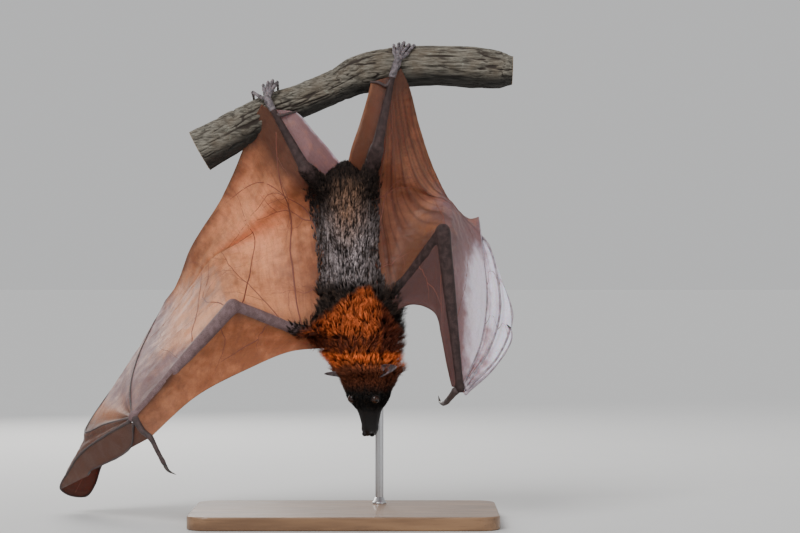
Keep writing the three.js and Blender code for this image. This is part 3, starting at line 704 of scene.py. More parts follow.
def head_rings(rows=180, columns=190):
    """The head from inside the nape to the nose, with muzzle, nostrils, lips and lids."""
    share = np.linspace(0, 1, rows)
    share = mix(share, 1 - (1 - share) ** 1.5, 0.5)
    along, half_width, crown, throat, offset = rows_of(HEAD_SECTIONS, share).T[..., None]
    fur = 1.7 * ease(along, 34, 8) + 0.9 * ease(along, 62, 40) + 0.2
    angle = np.linspace(0, 2 * np.pi, columns, endpoint=False)[None, :]
    on_top = np.sin(angle) > 0
    reach = np.maximum(np.where(on_top, crown, throat) - fur, 0.6)
    across = np.cos(angle) * np.maximum(half_width - fur, 0.6)
    height = np.sin(angle) * reach - offset
    along = along + 0 * angle
    # The bridge of the nose, the groove at its end, the brows and the dip between them
    bridge = hump(across, 4.5) * on_top * ease(along, 42, 52) * ease(along, 74, 66)
    middle = hump(across, 2.0) * on_top
    brows = hump(np.abs(across) - 10, 5) * on_top * hump(along - 31, 5)
    height = height + 1.1 * bridge - 0.9 * middle * ease(along, 71, 75) + 1.3 * brows
    height = height - 1.2 * middle * hump(along - 33, 9)
    # The cheeks and the sides of the nose
    cheek = hump(np.abs(np.cos(angle)) - 0.95, 0.25)
    across = across * (1 + 0.05 * cheek * hump(along - 44, 7))
    across = across * (1 + 0.10 * cheek * hump(along - 70, 4))
    # The cleft of the mouth between its two lips
    above = height + mix(MOUTH["corner"], MOUTH["front"], ease(along, MOUTH["from"], MOUTH["end"]))
    cleft = hump(above, 0.55) * ease(along, 30, 34) * ease(along, 77, 74)
    lips = (hump(above - 1.5, 1.1) + 0.8 * hump(above + 1.6, 1.0)) * ease(along, 32, 40)
    across = across * (1 - 0.16 * cleft + 0.035 * lips)
    return nostrils(lids(head_point(along, across, height)))


def nostrils(points):
    """Two rimmed nostrils at the end of the muzzle, opening forward and out, and a notch."""
    for sign in (-1, 1):
        centre, aim = (head_point(along, sign * out, crown) for along, out, crown in NOSTRIL)
        distance = np.linalg.norm(points - centre, axis=-1)
        dent = 1.9 * hump(distance - 2.3, 1.0) - 3.2 * hump(distance, 1.35)
        points = points + unit(aim - centre) * dent[..., None]
    along, across, _ = in_head(points)
    notch = 2.2 * hump(across, 1.5) * ease(along, 73.5, 77.0)
    return points + UP * notch[..., None]


def ear_leaf(side):
    """The surface of an ear, rolled across its width."""
    sign = -1 if side == "right" else 1
    root = turned(side, EAR_PLACE["angle"], EAR_PLACE["along"], EAR_PLACE["out"])
    axis = unit(np.array(EAR_AXIS[side]))
    broad = np.array(EAR_BROAD[side])
    broad = unit(broad - axis * (axis @ broad))
    hollow = np.cross(axis, broad)

    def read(s, t):
        swell = np.sin(np.pi * mix(0.3, 1.0, t))
        width = EAR["width"] * np.maximum(swell, 0) ** 0.8 + 0.6
        curl = mix(1.8, 1.1, t)
        bend = (s - 0.5) * curl
        lobe = (np.sin(bend) / curl * width)[..., None]
        cup = ((1 - np.cos(bend)) / curl * width)[..., None]
        reach = mix(-9.0, EAR["length"], t)[..., None]
        return root + axis * reach + broad * lobe + hollow * sign * cup

    return read


def toe_paths(side):
    """The path of each toe, from the ball over the perch to the tip of its claw."""
    ball = np.array(SIDES[side]["foot"], float)
    for knuckle, over in SIDES[side]["toes"]:
        knuckle = np.array(knuckle, float)
        hook = np.array(over) + np.array(TOE_HOOK)
        yield Curve([mix(ball, knuckle, 0.15), knuckle, *hook])


def hand_of(side):
    """The rays of a hand, each read from joint to joint."""
    joints = HAND_JOINTS[side].items()
    return {digit: ray_of(SIDES[side][digit], places) for digit, places in joints}


def outside_body(points):
    """How far points stand out beyond the trunk, in mm."""
    table = rows_of(BODY_SECTIONS, np.linspace(0, 1, 300))
    table = table[np.argsort(table[:, 0])].T
    x, wide, y, deep = (np.interp(points[..., 2], table[0], column) for column in table[1:])
    radial = np.hypot((points[..., 0] - x) / wide, (points[..., 1] - y) / deep)
    return (radial - 1) * np.minimum(wide, deep)


def bareness(points):
    """0 where the skin is furred and 1 where it is bare, out along the limbs."""
    out = outside_body(points)
    return np.where(points[..., 2] > LEG_HEIGHT, ease(out, 6, 34), ease(out, 10, 42))


# ---- Shader kit ----


def feed(tree, made, inputs):
    """Sets or links the inputs of a shader node."""
    for key, value in inputs.items():
        if isinstance(value, bpy.types.NodeSocket):
            tree.links.new(value, made.inputs[key])
        else:
            made.inputs[key].default_value = value
    return made


def node(tree, kind, inputs, **settings):
    """Adds a shader node, sets what it is, and sets or links its inputs."""
    made = tree.nodes.new("ShaderNode" + kind)
    for key, value in settings.items():
        setattr(made, key, value)
    return feed(tree, made, inputs)


def maths(tree, operation, *values):
    """One step of arithmetic between shader values."""
    return node(tree, "Math", dict(enumerate(values)), operation=operation).outputs[0]


def plus(tree, a, b):
    """The sum of two shader values."""
    return maths(tree, "ADD", a, b)


def times(tree, a, b):
    """The product of two shader values."""
    return maths(tree, "MULTIPLY", a, b)


def off(tree, value, middle):
    """How far a value is from a middle."""
    return maths(tree, "ABSOLUTE", maths(tree, "SUBTRACT", value, middle))


def vector(tree, operation, inputs, output=0):
    """One step of arithmetic between shader vectors."""
    return node(tree, "VectorMath", inputs, operation=operation).outputs[output]


def blend(tree, share, a, b, how="MIX"):
    """Two colours mixed by a share."""
    colours = {
        key: value if isinstance(value, bpy.types.NodeSocket) else (*value, 1.0)
        for key, value in ((6, a), (7, b))
    }
    made = node(tree, "Mix", {0: share, **colours}, data_type="RGBA", blend_type=how)
    return made.outputs[2]


def rise(tree, value, low, high, start=0.0, end=1.0):
    """A smooth rise from start to end as a value goes from low to high."""
    inputs = {0: value, 1: low, 2: high, 3: start, 4: end}
    return node(tree, "MapRange", inputs, interpolation_type="SMOOTHSTEP").outputs[0]


def read(tree, name):
    """A value that the mesh holds on its points."""
    settings = {"attribute_name": name, "attribute_type": "GEOMETRY"}
    return node(tree, "Attribute", {}, **settings).outputs["Fac"]


def in_mm(tree):
    """Object coordinates in millimetres."""
    place = node(tree, "TexCoord", {}).outputs["Object"]
    return vector(tree, "SCALE", {0: place, 3: 1000.0})


def grain(tree, place, size, detail=3.0, roughness=0.55, stretch=None):
    """Noise from 0 to 1 with lumps of a size in the units of the place."""
    if stretch is not None:
        place = vector(tree, "MULTIPLY", {0: place, 1: stretch})
    inputs = {"Vector": place, "Scale": 1.0 / size, "Detail": detail, "Roughness": roughness}
    return node(tree, "TexNoise", inputs).outputs["Fac"]


def cells(tree, place, size, feature="DISTANCE_TO_EDGE"):
    """The distance to the edges, or to the middles, of cells of a size."""
    inputs = {"Vector": place, "Scale": 1.0 / size}
    return node(tree, "TexVoronoi", inputs, feature=feature).outputs["Distance"]


def bumped(tree, height, strength, distance):
    """A normal from a height, its distance in millimetres."""
    inputs = {"Height": height, "Strength": strength, "Distance": distance * MM}
    return node(tree, "Bump", inputs).outputs[0]


def group_of(name, outputs, inputs=()):
    """A shader node group with named inputs and outputs, and its two ends."""
    tree = bpy.data.node_groups.new(name, "ShaderNodeTree")
    for way, sockets in (("INPUT", inputs), ("OUTPUT", outputs)):
        for label, kind in sockets:
            tree.interface.new_socket(label, in_out=way, socket_type="NodeSocket" + kind)
    return tree, tree.nodes.new("NodeGroupInput"), tree.nodes.new("NodeGroupOutput")


def placed(tree, group, **inputs):
    """A node group put into a material, with its own values."""
    made = tree.nodes.new("ShaderNodeGroup")
    made.node_tree = group
    return feed(tree, made, inputs).outputs


def material(name, build):
    """A material: its build function gives the inputs of a Principled shader."""
    made = bpy.data.materials.new(name)
    made.use_nodes = True
    tree = made.node_tree
    tree.nodes.clear()
    shader = node(tree, "BsdfPrincipled", build(tree))
    node(tree, "OutputMaterial", {0: shader.outputs[0]})
    return made


# ---- Finishes ----

# Colours of the coat
BLACK_BROWN = (0.026, 0.017, 0.014)
MAROON = (0.085, 0.018, 0.009)
GOLD_BROWN = (0.40, 0.22, 0.14)
SILVER = (0.50, 0.42, 0.42)
ORANGE = (0.80, 0.185, 0.05)
DEEP_ORANGE = (0.26, 0.05, 0.014)
NAPE_RED = (0.92, 0.20, 0.045)
FOREHEAD = (0.15, 0.040, 0.017)
FACE = (0.0045, 0.0036, 0.0034)
FACE_HAIR = (0.004, 0.003, 0.003)
NOSE = (0.014, 0.011, 0.011)
BELLY = (0.06, 0.025, 0.012)
HAIR_TIP = (0.75, 0.42, 0.2)
UNDER_COAT = (0.42, 0.42, 0.42)
GOLD_PATCH = {"middle": (3.0, -25.0, 366.0), "squeeze": (1.15, 0.5, 0.66)}
# Colours of the wings: the tan runs from the skin's own brown to painted light shining through it
# from behind, mauve is painted sheen, lilac is painted sunlight and sheen, and the wing shade
# colour is painted shade
TAN_GLOW = ((0.34, 0.125, 0.050), (0.84, 0.36, 0.175))
MAUVE_SHEEN = (0.34, 0.205, 0.215)
LILAC_SUNLIT = (0.90, 0.83, 0.95)
WEB = (0.12, 0.04, 0.026)
FLECK = (0.16, 0.07, 0.05)
SPOT = (0.05, 0.025, 0.02)
WING_SHADE = (0.045, 0.018, 0.013)
FIBRE = (0.13, 0.055, 0.038)
STREAK = (0.10, 0.04, 0.028)
# Dark and light tones of the rest
BODY_SKIN = ((0.030, 0.017, 0.016), (0.070, 0.042, 0.040))
# The right arm's paler mauve is painted sheen
RIGHT_ARM_SHEEN = ((0.150, 0.092, 0.092), (0.225, 0.145, 0.150))
CREASE = (0.02, 0.01, 0.009)
HORN = ((0.012, 0.009, 0.008), (0.070, 0.050, 0.042))
IRIS = ((0.010, 0.004, 0.002), (0.045, 0.014, 0.005))
PUPIL = (0.002, 0.002, 0.002)
EYE_RIM = (0.022, 0.010, 0.008)
BARK_RIDGE = ((0.034, 0.028, 0.021), (0.25, 0.225, 0.18))
BARK_STAIN = (0.13, 0.095, 0.062)
LICHEN = (0.26, 0.26, 0.205)
FURROW = (0.030, 0.020, 0.014)
# Painted shade on the perch's underside
BARK_PAINTED_SHADE = (0.010, 0.009, 0.007)
WOOD = ((0.30, 0.18, 0.09), (0.46, 0.31, 0.17))
OAK_TONES = ((0.15, 0.075, 0.034), (0.27, 0.145, 0.068))
OAK_PORE = (0.085, 0.04, 0.018)


def marking_group():
    """The coat's colours over the body: grizzled back, orange mantle, red nape, dark face."""
    tree, _, end = group_of("Coat markings", [("Colour", "Color")])
    place = in_mm(tree)
    x, y, z = node(tree, "SeparateXYZ", {0: place}).outputs
    ragged = maths(tree, "MULTIPLY_ADD", grain(tree, place, 9.0, 4.0), 16.0, -8.0)
    height = plus(tree, z, ragged)
    # The back: silver streaks in a band down its middle, and a gold patch over the rump
    streak = grain(tree, place, 2.6, 3.0, 0.6, (1.0, 1.0, 0.16))
    patch = grain(tree, place, 22.0, 3.0)
    silver = times(tree, rise(tree, streak, 0.38, 0.6), rise(tree, patch, 0.2, 0.5))
    band = times(tree, rise(tree, height, 272, 292), rise(tree, height, 392, 336))
    band = times(tree, band, rise(tree, off(tree, x, 4.0), 36, 16, 0.3, 1.0))
    silver = times(tree, silver, times(tree, band, 0.95))
    colour = blend(tree, silver, BLACK_BROWN, SILVER)
    from_patch = vector(tree, "SUBTRACT", {0: place, 1: GOLD_PATCH["middle"]})
    from_patch = vector(tree, "MULTIPLY", {0: from_patch, 1: GOLD_PATCH["squeeze"]})
    reach = plus(tree, vector(tree, "LENGTH", {0: from_patch}, 1), times(tree, ragged, 1.3))
    gold = times(tree, rise(tree, reach, 36, 2), rise(tree, streak, 0.36, 0.62))
    colour = blend(tree, gold, colour, GOLD_BROWN)
    # The mantle: its edge drops to both sides, it darkens with painted shadow at the shoulders, and
    # it darkens at collar and flank
    to_left = maths(tree, "MAXIMUM", maths(tree, "SUBTRACT", 22.0, x), 0.0)
    to_right = maths(tree, "MAXIMUM", maths(tree, "SUBTRACT", x, 28.0), 0.0)
    edge = maths(tree, "MULTIPLY_ADD", to_left, 0.72, height)
    edge = maths(tree, "MULTIPLY_ADD", to_right, 1.3, edge)
    mantle = rise(tree, edge, 283, 272)
    flecks = rise(tree, grain(tree, place, 5.0, 4.0, 0.6, (1.0, 1.0, 0.3)), 0.3, 0.7)
    # Painted shadow darkens the mantle towards the shoulders
    shoulder_shadow = times(tree, rise(tree, off(tree, x, 10.0), 22, 44), 0.8)
    orange = blend(tree, flecks, DEEP_ORANGE, ORANGE)
    orange = blend(tree, shoulder_shadow, orange, DEEP_ORANGE)
    colour = blend(tree, mantle, colour, orange)
    low = rise(tree, height, 228, 218)
    collar = times(tree, low, rise(tree, flecks, 1.1, 0.2, 0.45, 0.9))
    flank = rise(tree, plus(tree, x, ragged), 34, 48, 0.0, 0.8)
    for share in (collar, flank):
        colour = blend(tree, times(tree, share, mantle), colour, MAROON)
    # The head, from nape to nose, and the belly
    colour = blend(tree, times(tree, rise(tree, height, 204, 196), 0.9), colour, NAPE_RED)
    colour = blend(tree, rise(tree, height, 195, 181), colour, FOREHEAD)
    colour = blend(tree, rise(tree, height, 172, 152), colour, FACE)
    colour = blend(tree, times(tree, rise(tree, y, 6, 26), 0.6), colour, BELLY)
    tree.links.new(colour, end.inputs[0])
    return tree


def wrinkle_group():
    """Fine crossing creases of bare skin: a height and a mask of its creases."""
    outputs = [("Height", "Float"), ("Creases", "Float")]
    tree, start, end = group_of("Skin creases", outputs, [("Size", "Float")])
    size = maths(tree, "DIVIDE", 1.0, start.outputs[0])
    scaled = vector(tree, "SCALE", {0: in_mm(tree), 3: size})
    warp = grain(tree, scaled, 2.0, 2.0)
    moved = vector(tree, "ADD", {0: scaled, 1: (1.0, 1.0, 1.0), 2: warp})
    creases = rise(tree, cells(tree, moved, 1.0), 0.0, 0.12)
    fine = grain(tree, scaled, 0.35, 3.0)
    height = plus(tree, times(tree, creases, 0.7), times(tree, fine, 0.4))
    tree.links.new(height, end.inputs[0])
    tree.links.new(creases, end.inputs[1])
    return tree


MARKINGS = marking_group()
CREASES = wrinkle_group()


def fur_build(tree):
    """Each tuft dark at its root, with painted shade deep in the coat, and light at its tip, with
    its own random tone.
    """
    along = read(tree, "along")
    shade = read(tree, "shade")
    # Painted shade: each tuft darkens towards its root, scaled by its own random tone
    root_shade_and_tone = rise(tree, along, 0.05, 0.85, 0.14, 1.15)
    root_shade_and_tone = times(tree, root_shade_and_tone, rise(tree, shade, 0, 1, 0.55, 1.5))
    grey = node(tree, "CombineColor", {0: root_shade_and_tone, 1: root_shade_and_tone, 2: root_shade_and_tone}).outputs[0]
    colour = blend(tree, 1.0, placed(tree, MARKINGS)[0], grey, "MULTIPLY")
    pale = times(tree, rise(tree, along, 0.6, 1.0), rise(tree, shade, 0.55, 1.0, 0, 0.16))
    place = in_mm(tree)
    ridge = grain(tree, place, 0.5, 2.0, 0.5, (1.0, 1.0, 0.2))
    return {
        "Base Color": blend(tree, pale, colour, HAIR_TIP),
        "Roughness": rise(tree, grain(tree, place, 3.0), 0.3, 0.7, 0.52, 0.72),
        "Specular IOR Level": 0.16,
        "Normal": bumped(tree, ridge, 0.25, 0.15),
    }


def skin_build(tree):
    """Furred skin under the coat, running into bare skin on the limbs, paler on the right arm with
    painted sheen.
    """
    place = in_mm(tree)
    under = blend(tree, 1.0, placed(tree, MARKINGS)[0], UNDER_COAT, "MULTIPLY")
    hairs = grain(tree, place, 1.2, 3.0, 0.6, (1.0, 1.0, 0.25))
    mottle = grain(tree, place, 7.0, 4.0)
    patches = rise(tree, mottle, 0.35, 0.7)
    x, _, z = node(tree, "SeparateXYZ", {0: place}).outputs
    # Painted sheen: the right arm's bare skin is a paler mauve
    arm = times(tree, rise(tree, x, -4, -60), rise(tree, z, 345, 320))
    skin = blend(tree, patches, *BODY_SKIN)
    skin = blend(tree, arm, skin, blend(tree, patches, *RIGHT_ARM_SHEEN))
    creases = placed(tree, CREASES, Size=1.5)
    skin = blend(tree, maths(tree, "MULTIPLY_ADD", creases[1], -0.4, 0.4), skin, CREASE)
    height = plus(tree, times(tree, hairs, 0.6), creases[0])
    return {
        "Base Color": blend(tree, read(tree, "bare"), under, skin),
        "Roughness": rise(tree, mottle, 0.3, 0.7, 0.52, 0.7),
        "Specular IOR Level": 0.22,
        "Normal": bumped(tree, height, 0.5, 0.35),
    }


def face_build(tree):
    """Short-haired black face skin, bare and damp at the nose."""
    place = in_mm(tree)
    hairs = grain(tree, place, 0.7, 4.0, 0.6, (1.0, 1.0, 0.3))
    z = node(tree, "SeparateXYZ", {0: place}).outputs[2]
    nose = rise(tree, plus(tree, z, grain(tree, place, 4.0)), 111.5, 107.0)
    colour = blend(tree, nose, placed(tree, MARKINGS)[0], NOSE)
    pores = times(tree, cells(tree, place, 0.8), nose)
    return {
        "Base Color": blend(tree, rise(tree, hairs, 0.35, 0.75, 0, 0.5), colour, FACE_HAIR),
        "Roughness": rise(tree, nose, 0, 1, 0.62, 0.3),
        "Specular IOR Level": 0.3,
        "Normal": bumped(tree, plus(tree, hairs, pores), 0.5, 0.3),
    }


def leather_build(dark, light, size, gloss=0.5):
    """Bare creased skin between two tones."""

    def build(tree):
        mottle = rise(tree, grain(tree, in_mm(tree), size * 4, 4.0), 0.34, 0.68)
        creases = placed(tree, CREASES, Size=size)
        lines = times(tree, maths(tree, "SUBTRACT", 1.0, creases[1]), 0.55)
        colour = blend(tree, mottle, dark, light)
        return {
            "Base Color": blend(tree, lines, colour, [tone * 0.35 for tone in dark]),
            "Roughness": rise(tree, mottle, 0, 1, gloss, gloss + 0.16),
            "Normal": bumped(tree, creases[0], 0.6, 0.3),
            "Subsurface Weight": 0.08,
            "Subsurface Scale": 0.002,
        }

    return build


def wing_build(tree):
    """Thin creased wing skin: tan brightened by painted light through the skin, mauve painted sheen
    or lilac painted sunlight by its tint, and darker by its painted shade.
    """
    place = in_mm(tree)
    mottle = grain(tree, place, 16.0, 5.0)
    tint = plus(tree, read(tree, "tint"), maths(tree, "MULTIPLY_ADD", mottle, 0.4, -0.2))
    # Tint picks painted light: brighter tan where light shines through, then mauve painted sheen,
    # then lilac painted sunlight
    colour = blend(tree, rise(tree, tint, 0.0, 0.25), *TAN_GLOW)
    colour = blend(tree, rise(tree, tint, 0.3, 0.55), colour, MAUVE_SHEEN)
    colour = blend(tree, rise(tree, tint, 0.68, 0.95), colour, LILAC_SUNLIT)
    plain = rise(tree, tint, 0.55, 0.85, 1.0, 0.3)
    web = rise(tree, cells(tree, place, 5.5), 0.0, 0.05)
    colour = blend(tree, maths(tree, "MULTIPLY_ADD", web, -0.16, 0.16), colour, WEB)
    fine = rise(tree, grain(tree, place, 2.2, 4.0), 0.5, 0.85, 0, 0.25)
    colour = blend(tree, times(tree, fine, plain), colour, FLECK)
    spots = rise(tree, cells(tree, place, 3.6, "F1"), 0.16, 0.09)
    spots = times(tree, spots, rise(tree, mottle, 0.54, 0.66, 0, 0.6))
    colour = blend(tree, spots, colour, SPOT)
    # Painted shade, from the membrane's shade values
    colour = blend(tree, read(tree, "shade"), colour, WING_SHADE)
    on_map = node(tree, "UVMap", {}, uv_map="Map").outputs[0]
    fibres = grain(tree, on_map, 0.02, 5.0, 0.7, (1.0, 0.1, 1.0))
    fibres = times(tree, rise(tree, fibres, 0.42, 0.72, 0, 0.34), plain)
    colour = blend(tree, fibres, colour, FIBRE)
    streaks = grain(tree, on_map, 0.03, 5.0, 0.7, (0.14, 1.0, 1.0))
    streaks = times(tree, rise(tree, streaks, 0.5, 0.78, 0, 0.26), plain)
    bands = grain(tree, on_map, 0.012, 3.0, 0.6, (1.0, 0.14, 1.0))
    cross = grain(tree, on_map, 0.016, 3.0, 0.6, (0.12, 1.0, 1.0))
    height = plus(tree, times(tree, bands, 0.8), times(tree, cross, 0.5))
    height = plus(tree, height, times(tree, placed(tree, CREASES, Size=2.4)[0], 0.35))
    return {
        "Base Color": blend(tree, streaks, colour, STREAK),
        "Roughness": rise(tree, mottle, 0.3, 0.7, 0.42, 0.6),
        "Specular IOR Level": 0.24,
        "Subsurface Weight": 0.45,
        "Subsurface Radius": (1.0, 0.42, 0.25),
        "Subsurface Scale": 0.0022,
        "Normal": bumped(tree, height, 0.55, 0.5),
    }


def claw_build(tree):
    """Horn with fine growth lines."""
    place = in_mm(tree)
    lines = grain(tree, place, 0.8, 3.0, 0.6, (0.5, 0.5, 2.0))
    return {
        "Base Color": blend(tree, rise(tree, grain(tree, place, 3.0, 3.0), 0.35, 0.7), *HORN),
        "Roughness": rise(tree, lines, 0.3, 0.7, 0.2, 0.36),
        "Coat Weight": rise(tree, lines, 0.2, 0.8, 0.15, 0.35),
        "Normal": bumped(tree, lines, 0.35, 0.12),
    }


def eye_build(tree):
    """A dark brown iris round a black pupil, read from how far the point turns from its axis."""
    turn = read(tree, "turn")
    place = node(tree, "CombineXYZ", {0: read(tree, "around"), 1: turn}).outputs[0]
    rays = grain(tree, place, 0.05, 3.0, 0.6, (3.0, 0.4, 1.0))
    iris = blend(tree, rise(tree, rays, 0.3, 0.7), *IRIS)
    colour = blend(tree, rise(tree, turn, 0.30, 0.36), PUPIL, iris)
    return {
        "Base Color": blend(tree, rise(tree, turn, 0.72, 0.86), colour, EYE_RIM),
        "Roughness": rise(tree, rays, 0.2, 0.8, 0.07, 0.13),
        "Specular IOR Level": 0.32,
        "Coat Weight": rise(tree, turn, 0.6, 1.3, 0.12, 0.06),
        "Normal": bumped(tree, rays, 0.05, 0.05),
    }


def bark_build(tree):
    """Weathered bark: pale grey ridges, dark furrows, lichen flecks, warm cut ends and painted
    shade on its underside.
    """
    place = in_mm(tree)
    fibre = grain(tree, place, 2.4, 5.0, 0.65, (0.16, 1.0, 1.0))
    stain = rise(tree, grain(tree, place, 26.0, 4.0), 0.42, 0.68, 0, 0.5)
    lichen = rise(tree, grain(tree, place, 7.0, 5.0, 0.7), 0.6, 0.68, 0, 0.55)
    colour = blend(tree, rise(tree, fibre, 0.3, 0.72), *BARK_RIDGE)
    colour = blend(tree, stain, colour, BARK_STAIN)
    colour = blend(tree, lichen, colour, LICHEN)
    colour = blend(tree, rise(tree, read(tree, "furrow"), 0.25, 0.85), colour, FURROW)
    # Painted shade on the underside of the branch
    colour = blend(tree, read(tree, "under"), colour, BARK_PAINTED_SHADE)
    inputs = {"Vector": place, "Scale": 0.22, "Distortion": 2.0, "Detail": 3.0}
    waves = node(tree, "TexWave", inputs, wave_type="RINGS", rings_direction="X")
    wood = blend(tree, waves.outputs["Fac"], *WOOD)
    height = plus(tree, fibre, times(tree, grain(tree, place, 1.1, 4.0), 0.5))
    return {
        "Base Color": blend(tree, read(tree, "end"), colour, wood),
        "Roughness": rise(tree, fibre, 0.3, 0.7, 0.95, 0.78),
        "Normal": bumped(tree, height, 0.8, 1.2),
    }


def oak_build(tree):
    """Oiled oak with long pores in a broad figure."""
    place = in_mm(tree)
    fibre = grain(tree, place, 2.0, 4.0, 0.6, (0.05, 1.0, 1.0))
    figure = grain(tree, place, 14.0, 3.0, 0.5, (0.12, 1.0, 1.0))
    colour = blend(tree, rise(tree, figure, 0.3, 0.7), *OAK_TONES)
    return {
        "Base Color": blend(tree, rise(tree, fibre, 0.55, 0.75, 0, 0.7), colour, OAK_PORE),
        "Roughness": rise(tree, fibre, 0.3, 0.7, 0.34, 0.5),
        "Coat Weight": rise(tree, figure, 0.2, 0.8, 0.2, 0.3),
        "Normal": bumped(tree, fibre, 0.3, 0.15),
    }


def toned_build(noise_values, dark, light, span, gloss, relief, metallic=0.0):
    """One pattern of noise between two tones, with the range of its roughness and its relief."""

    def build(tree):
        tone = grain(tree, in_mm(tree), *noise_values)
        return {
            "Base Color": blend(tree, tone, dark, light),
            "Roughness": rise(tree, tone, *span, *gloss),
            "Metallic": metallic,
            "Normal": bumped(tree, tone, *relief),
        }

    return build


FUR = material("Fur", fur_build)
FURRED_SKIN = material("Skin", skin_build)
FACE_SKIN = material("Face skin", face_build)
LIMB = material("Limb skin", leather_build((0.034, 0.019, 0.018), (0.085, 0.050, 0.048), 1.6))
# The left hand's fingers are pale lilac with painted sunlight, a lit copy of the limb skin
SUNLIT_FINGER = material("Finger skin", leather_build((0.26, 0.20, 0.225), (0.50, 0.42, 0.47), 1.4, 0.42))
FOOT = material("Foot skin", leather_build((0.060, 0.048, 0.052), (0.25, 0.205, 0.22), 1.1, 0.44))
EAR_SKIN = material("Ear skin", leather_build((0.040, 0.031, 0.034), (0.30, 0.245, 0.27), 1.8))
WING = material("Wing skin", wing_build)
# Two tones, the range of the noise, the range of roughness, and the relief
VEIN_LOOK = [(0.12, 0.028, 0.018), (0.23, 0.065, 0.036), (0.3, 0.7), (0.42, 0.58), (0.3, 0.3)]
VEIN = material("Vein", toned_build((5.0, 3.0), *VEIN_LOOK))
CLAW = material("Claw", claw_build)
EYE = material("Eye", eye_build)
BARK = material("Bark", bark_build)
OAK = material("Oiled oak", oak_build)
BRUSHED = (0.5, 3.0, 0.6, (1.0, 1.0, 0.04))
STEEL_LOOK = [(0.40, 0.40, 0.41), (0.58, 0.58, 0.59), (0.2, 0.8), (0.24, 0.38), (0.15, 0.04)]
STEEL = material("Brushed steel", toned_build(BRUSHED, *STEEL_LOOK, 1.0))
FLOOR_LOOK = [(0.615, 0.615, 0.612), (0.645, 0.645, 0.642), (0.2, 0.8), (0.8, 0.9), (0.0, 1.0)]
FLOOR = material("Floor", toned_build((90.0, 3.0), *FLOOR_LOOK))


# ---- The bat's bare parts ----

FLESH_NODES = ["pelvis", "trunk", "chest", "neck", "head", "lower_jaw"]
FLESH_LIMBS = ["upper_arm", "forearm", "wrist", "thigh", "shin", "calcar", "thumb"]
# Places of the materials in the skin, after the furred skin's own
LIMB_PAINT, FOOT_PAINT, FACE_PAINT, SUNLIT_FINGER_PAINT = 1, 2, 3, 4
FINGER_SHARE = 0.62  # of a finger's full thickness that shows as bone under the wing skin


def add_ear(shape, side):
    """One ear, thick at its rim and ribbed inside."""

    def thickness(s, t):
        rim = np.maximum(hump(s, 0.07), hump(1 - s, 0.07))
        return 0.75 + 0.75 * rim * ease(t, 0.1, 0.3) * ease(1 - t, 0.0, 0.1)

    def relief(s, t, points):
        ribs = np.sin(t * 34) * 0.16 * hump(s - 0.5, 0.3)
        return ribs + 0.25 * rough(points, 6.0, 3, 11)

    sheet(shape, ear_leaf(side), 40, 56, thickness, relief)


def add_part(shape, path, radii, share, detail, joints=None, **values):
    """A rod along a path between two shares of it, swollen at its joints."""
    radii = listed(radii, (share - share[0]) / (share[-1] - share[0]))
    radii = radii * (knobs(share, *joints) if joints else 1)
    shape.add(*tube(path(share), radii, *detail), **values)


def add_foot(shape, claws, side):
    """A foot of five clawed toes hooked over the perch, with padded joints."""
    ankle = np.array(SIDES[side]["leg"][-1], float)
    ball = np.array(SIDES[side]["foot"], float)
    sole = Curve([ankle, ball + (ball - ankle) * 0.25])
    look = {"bare": 1.0, "paint": FOOT_PAINT}
    add_part(shape, sole, BONE_RADII["foot"], np.linspace(0, 1, 14), (20, 4), **look)
    for path in toe_paths(side):
        share = np.linspace(0, TOE_END, 44)
        radii = listed(BONE_RADII["toe"], share / TOE_END)
        radii = radii * knobs(share, [0.2, 0.4, 0.58], 0.16, 0.035)
        for crease in (0.30, 0.50):
            radii = radii - 0.16 * hump(share - crease, 0.014)
        shape.add(*tube(path(share), radii, 16, 4), **look)
        share = np.linspace(TOE_CLAW_FROM, 1.0, 22)
        add_part(claws, path, BONE_RADII["toe_claw"], share, (12, 3))


def add_hand(shape, claws, side):
    """The fingers, thumb and calcar of one wing, with their joints and claws."""
    rays = hand_of(side)
    # The left hand's fingers get painted sunlight; the right hand's fingers get the limb skin
    finger_paint = SUNLIT_FINGER_PAINT if side == "left" else LIMB_PAINT
    for digit, ray in rays.items():
        second = digit == "digit2"
        joints = [0.0, 0.5, 0.9] if second else [0.0, 0.4, 0.6, 0.8]
        share = np.linspace(0, 0.9 if second else 1.0, 130)
        radii = listed(BONE_RADII[digit], share) * FINGER_SHARE * knobs(share, joints, 0.34)
        shape.add(*tube(ray(share), radii, 12, 3), bare=1.0, paint=finger_paint)
    tip = np.linspace(FINGER_CLAW_FROM, 1.0, 14)
    add_part(claws, rays["digit2"], BONE_RADII["finger_claw"], tip, (10, 3))
    thumb, claw, calcar = (Curve(SIDES[side][part]) for part in ("thumb", "thumb_claw", "calcar"))
    look = {"bare": 1.0, "paint": LIMB_PAINT}
    share = np.linspace(0, 1, 60)
    joints = ([0.0, 0.5, 0.96], 0.16, 0.06)
    add_part(shape, thumb, BONE_RADII["thumb"], share, (16, 4), joints, **look)
    share = np.linspace(0, 1, 30)
    add_part(claws, claw, BONE_RADII["thumb_claw"], share, (14, 3))
    add_part(shape, calcar, BONE_RADII["calcar"], share, (12, 3), **look)


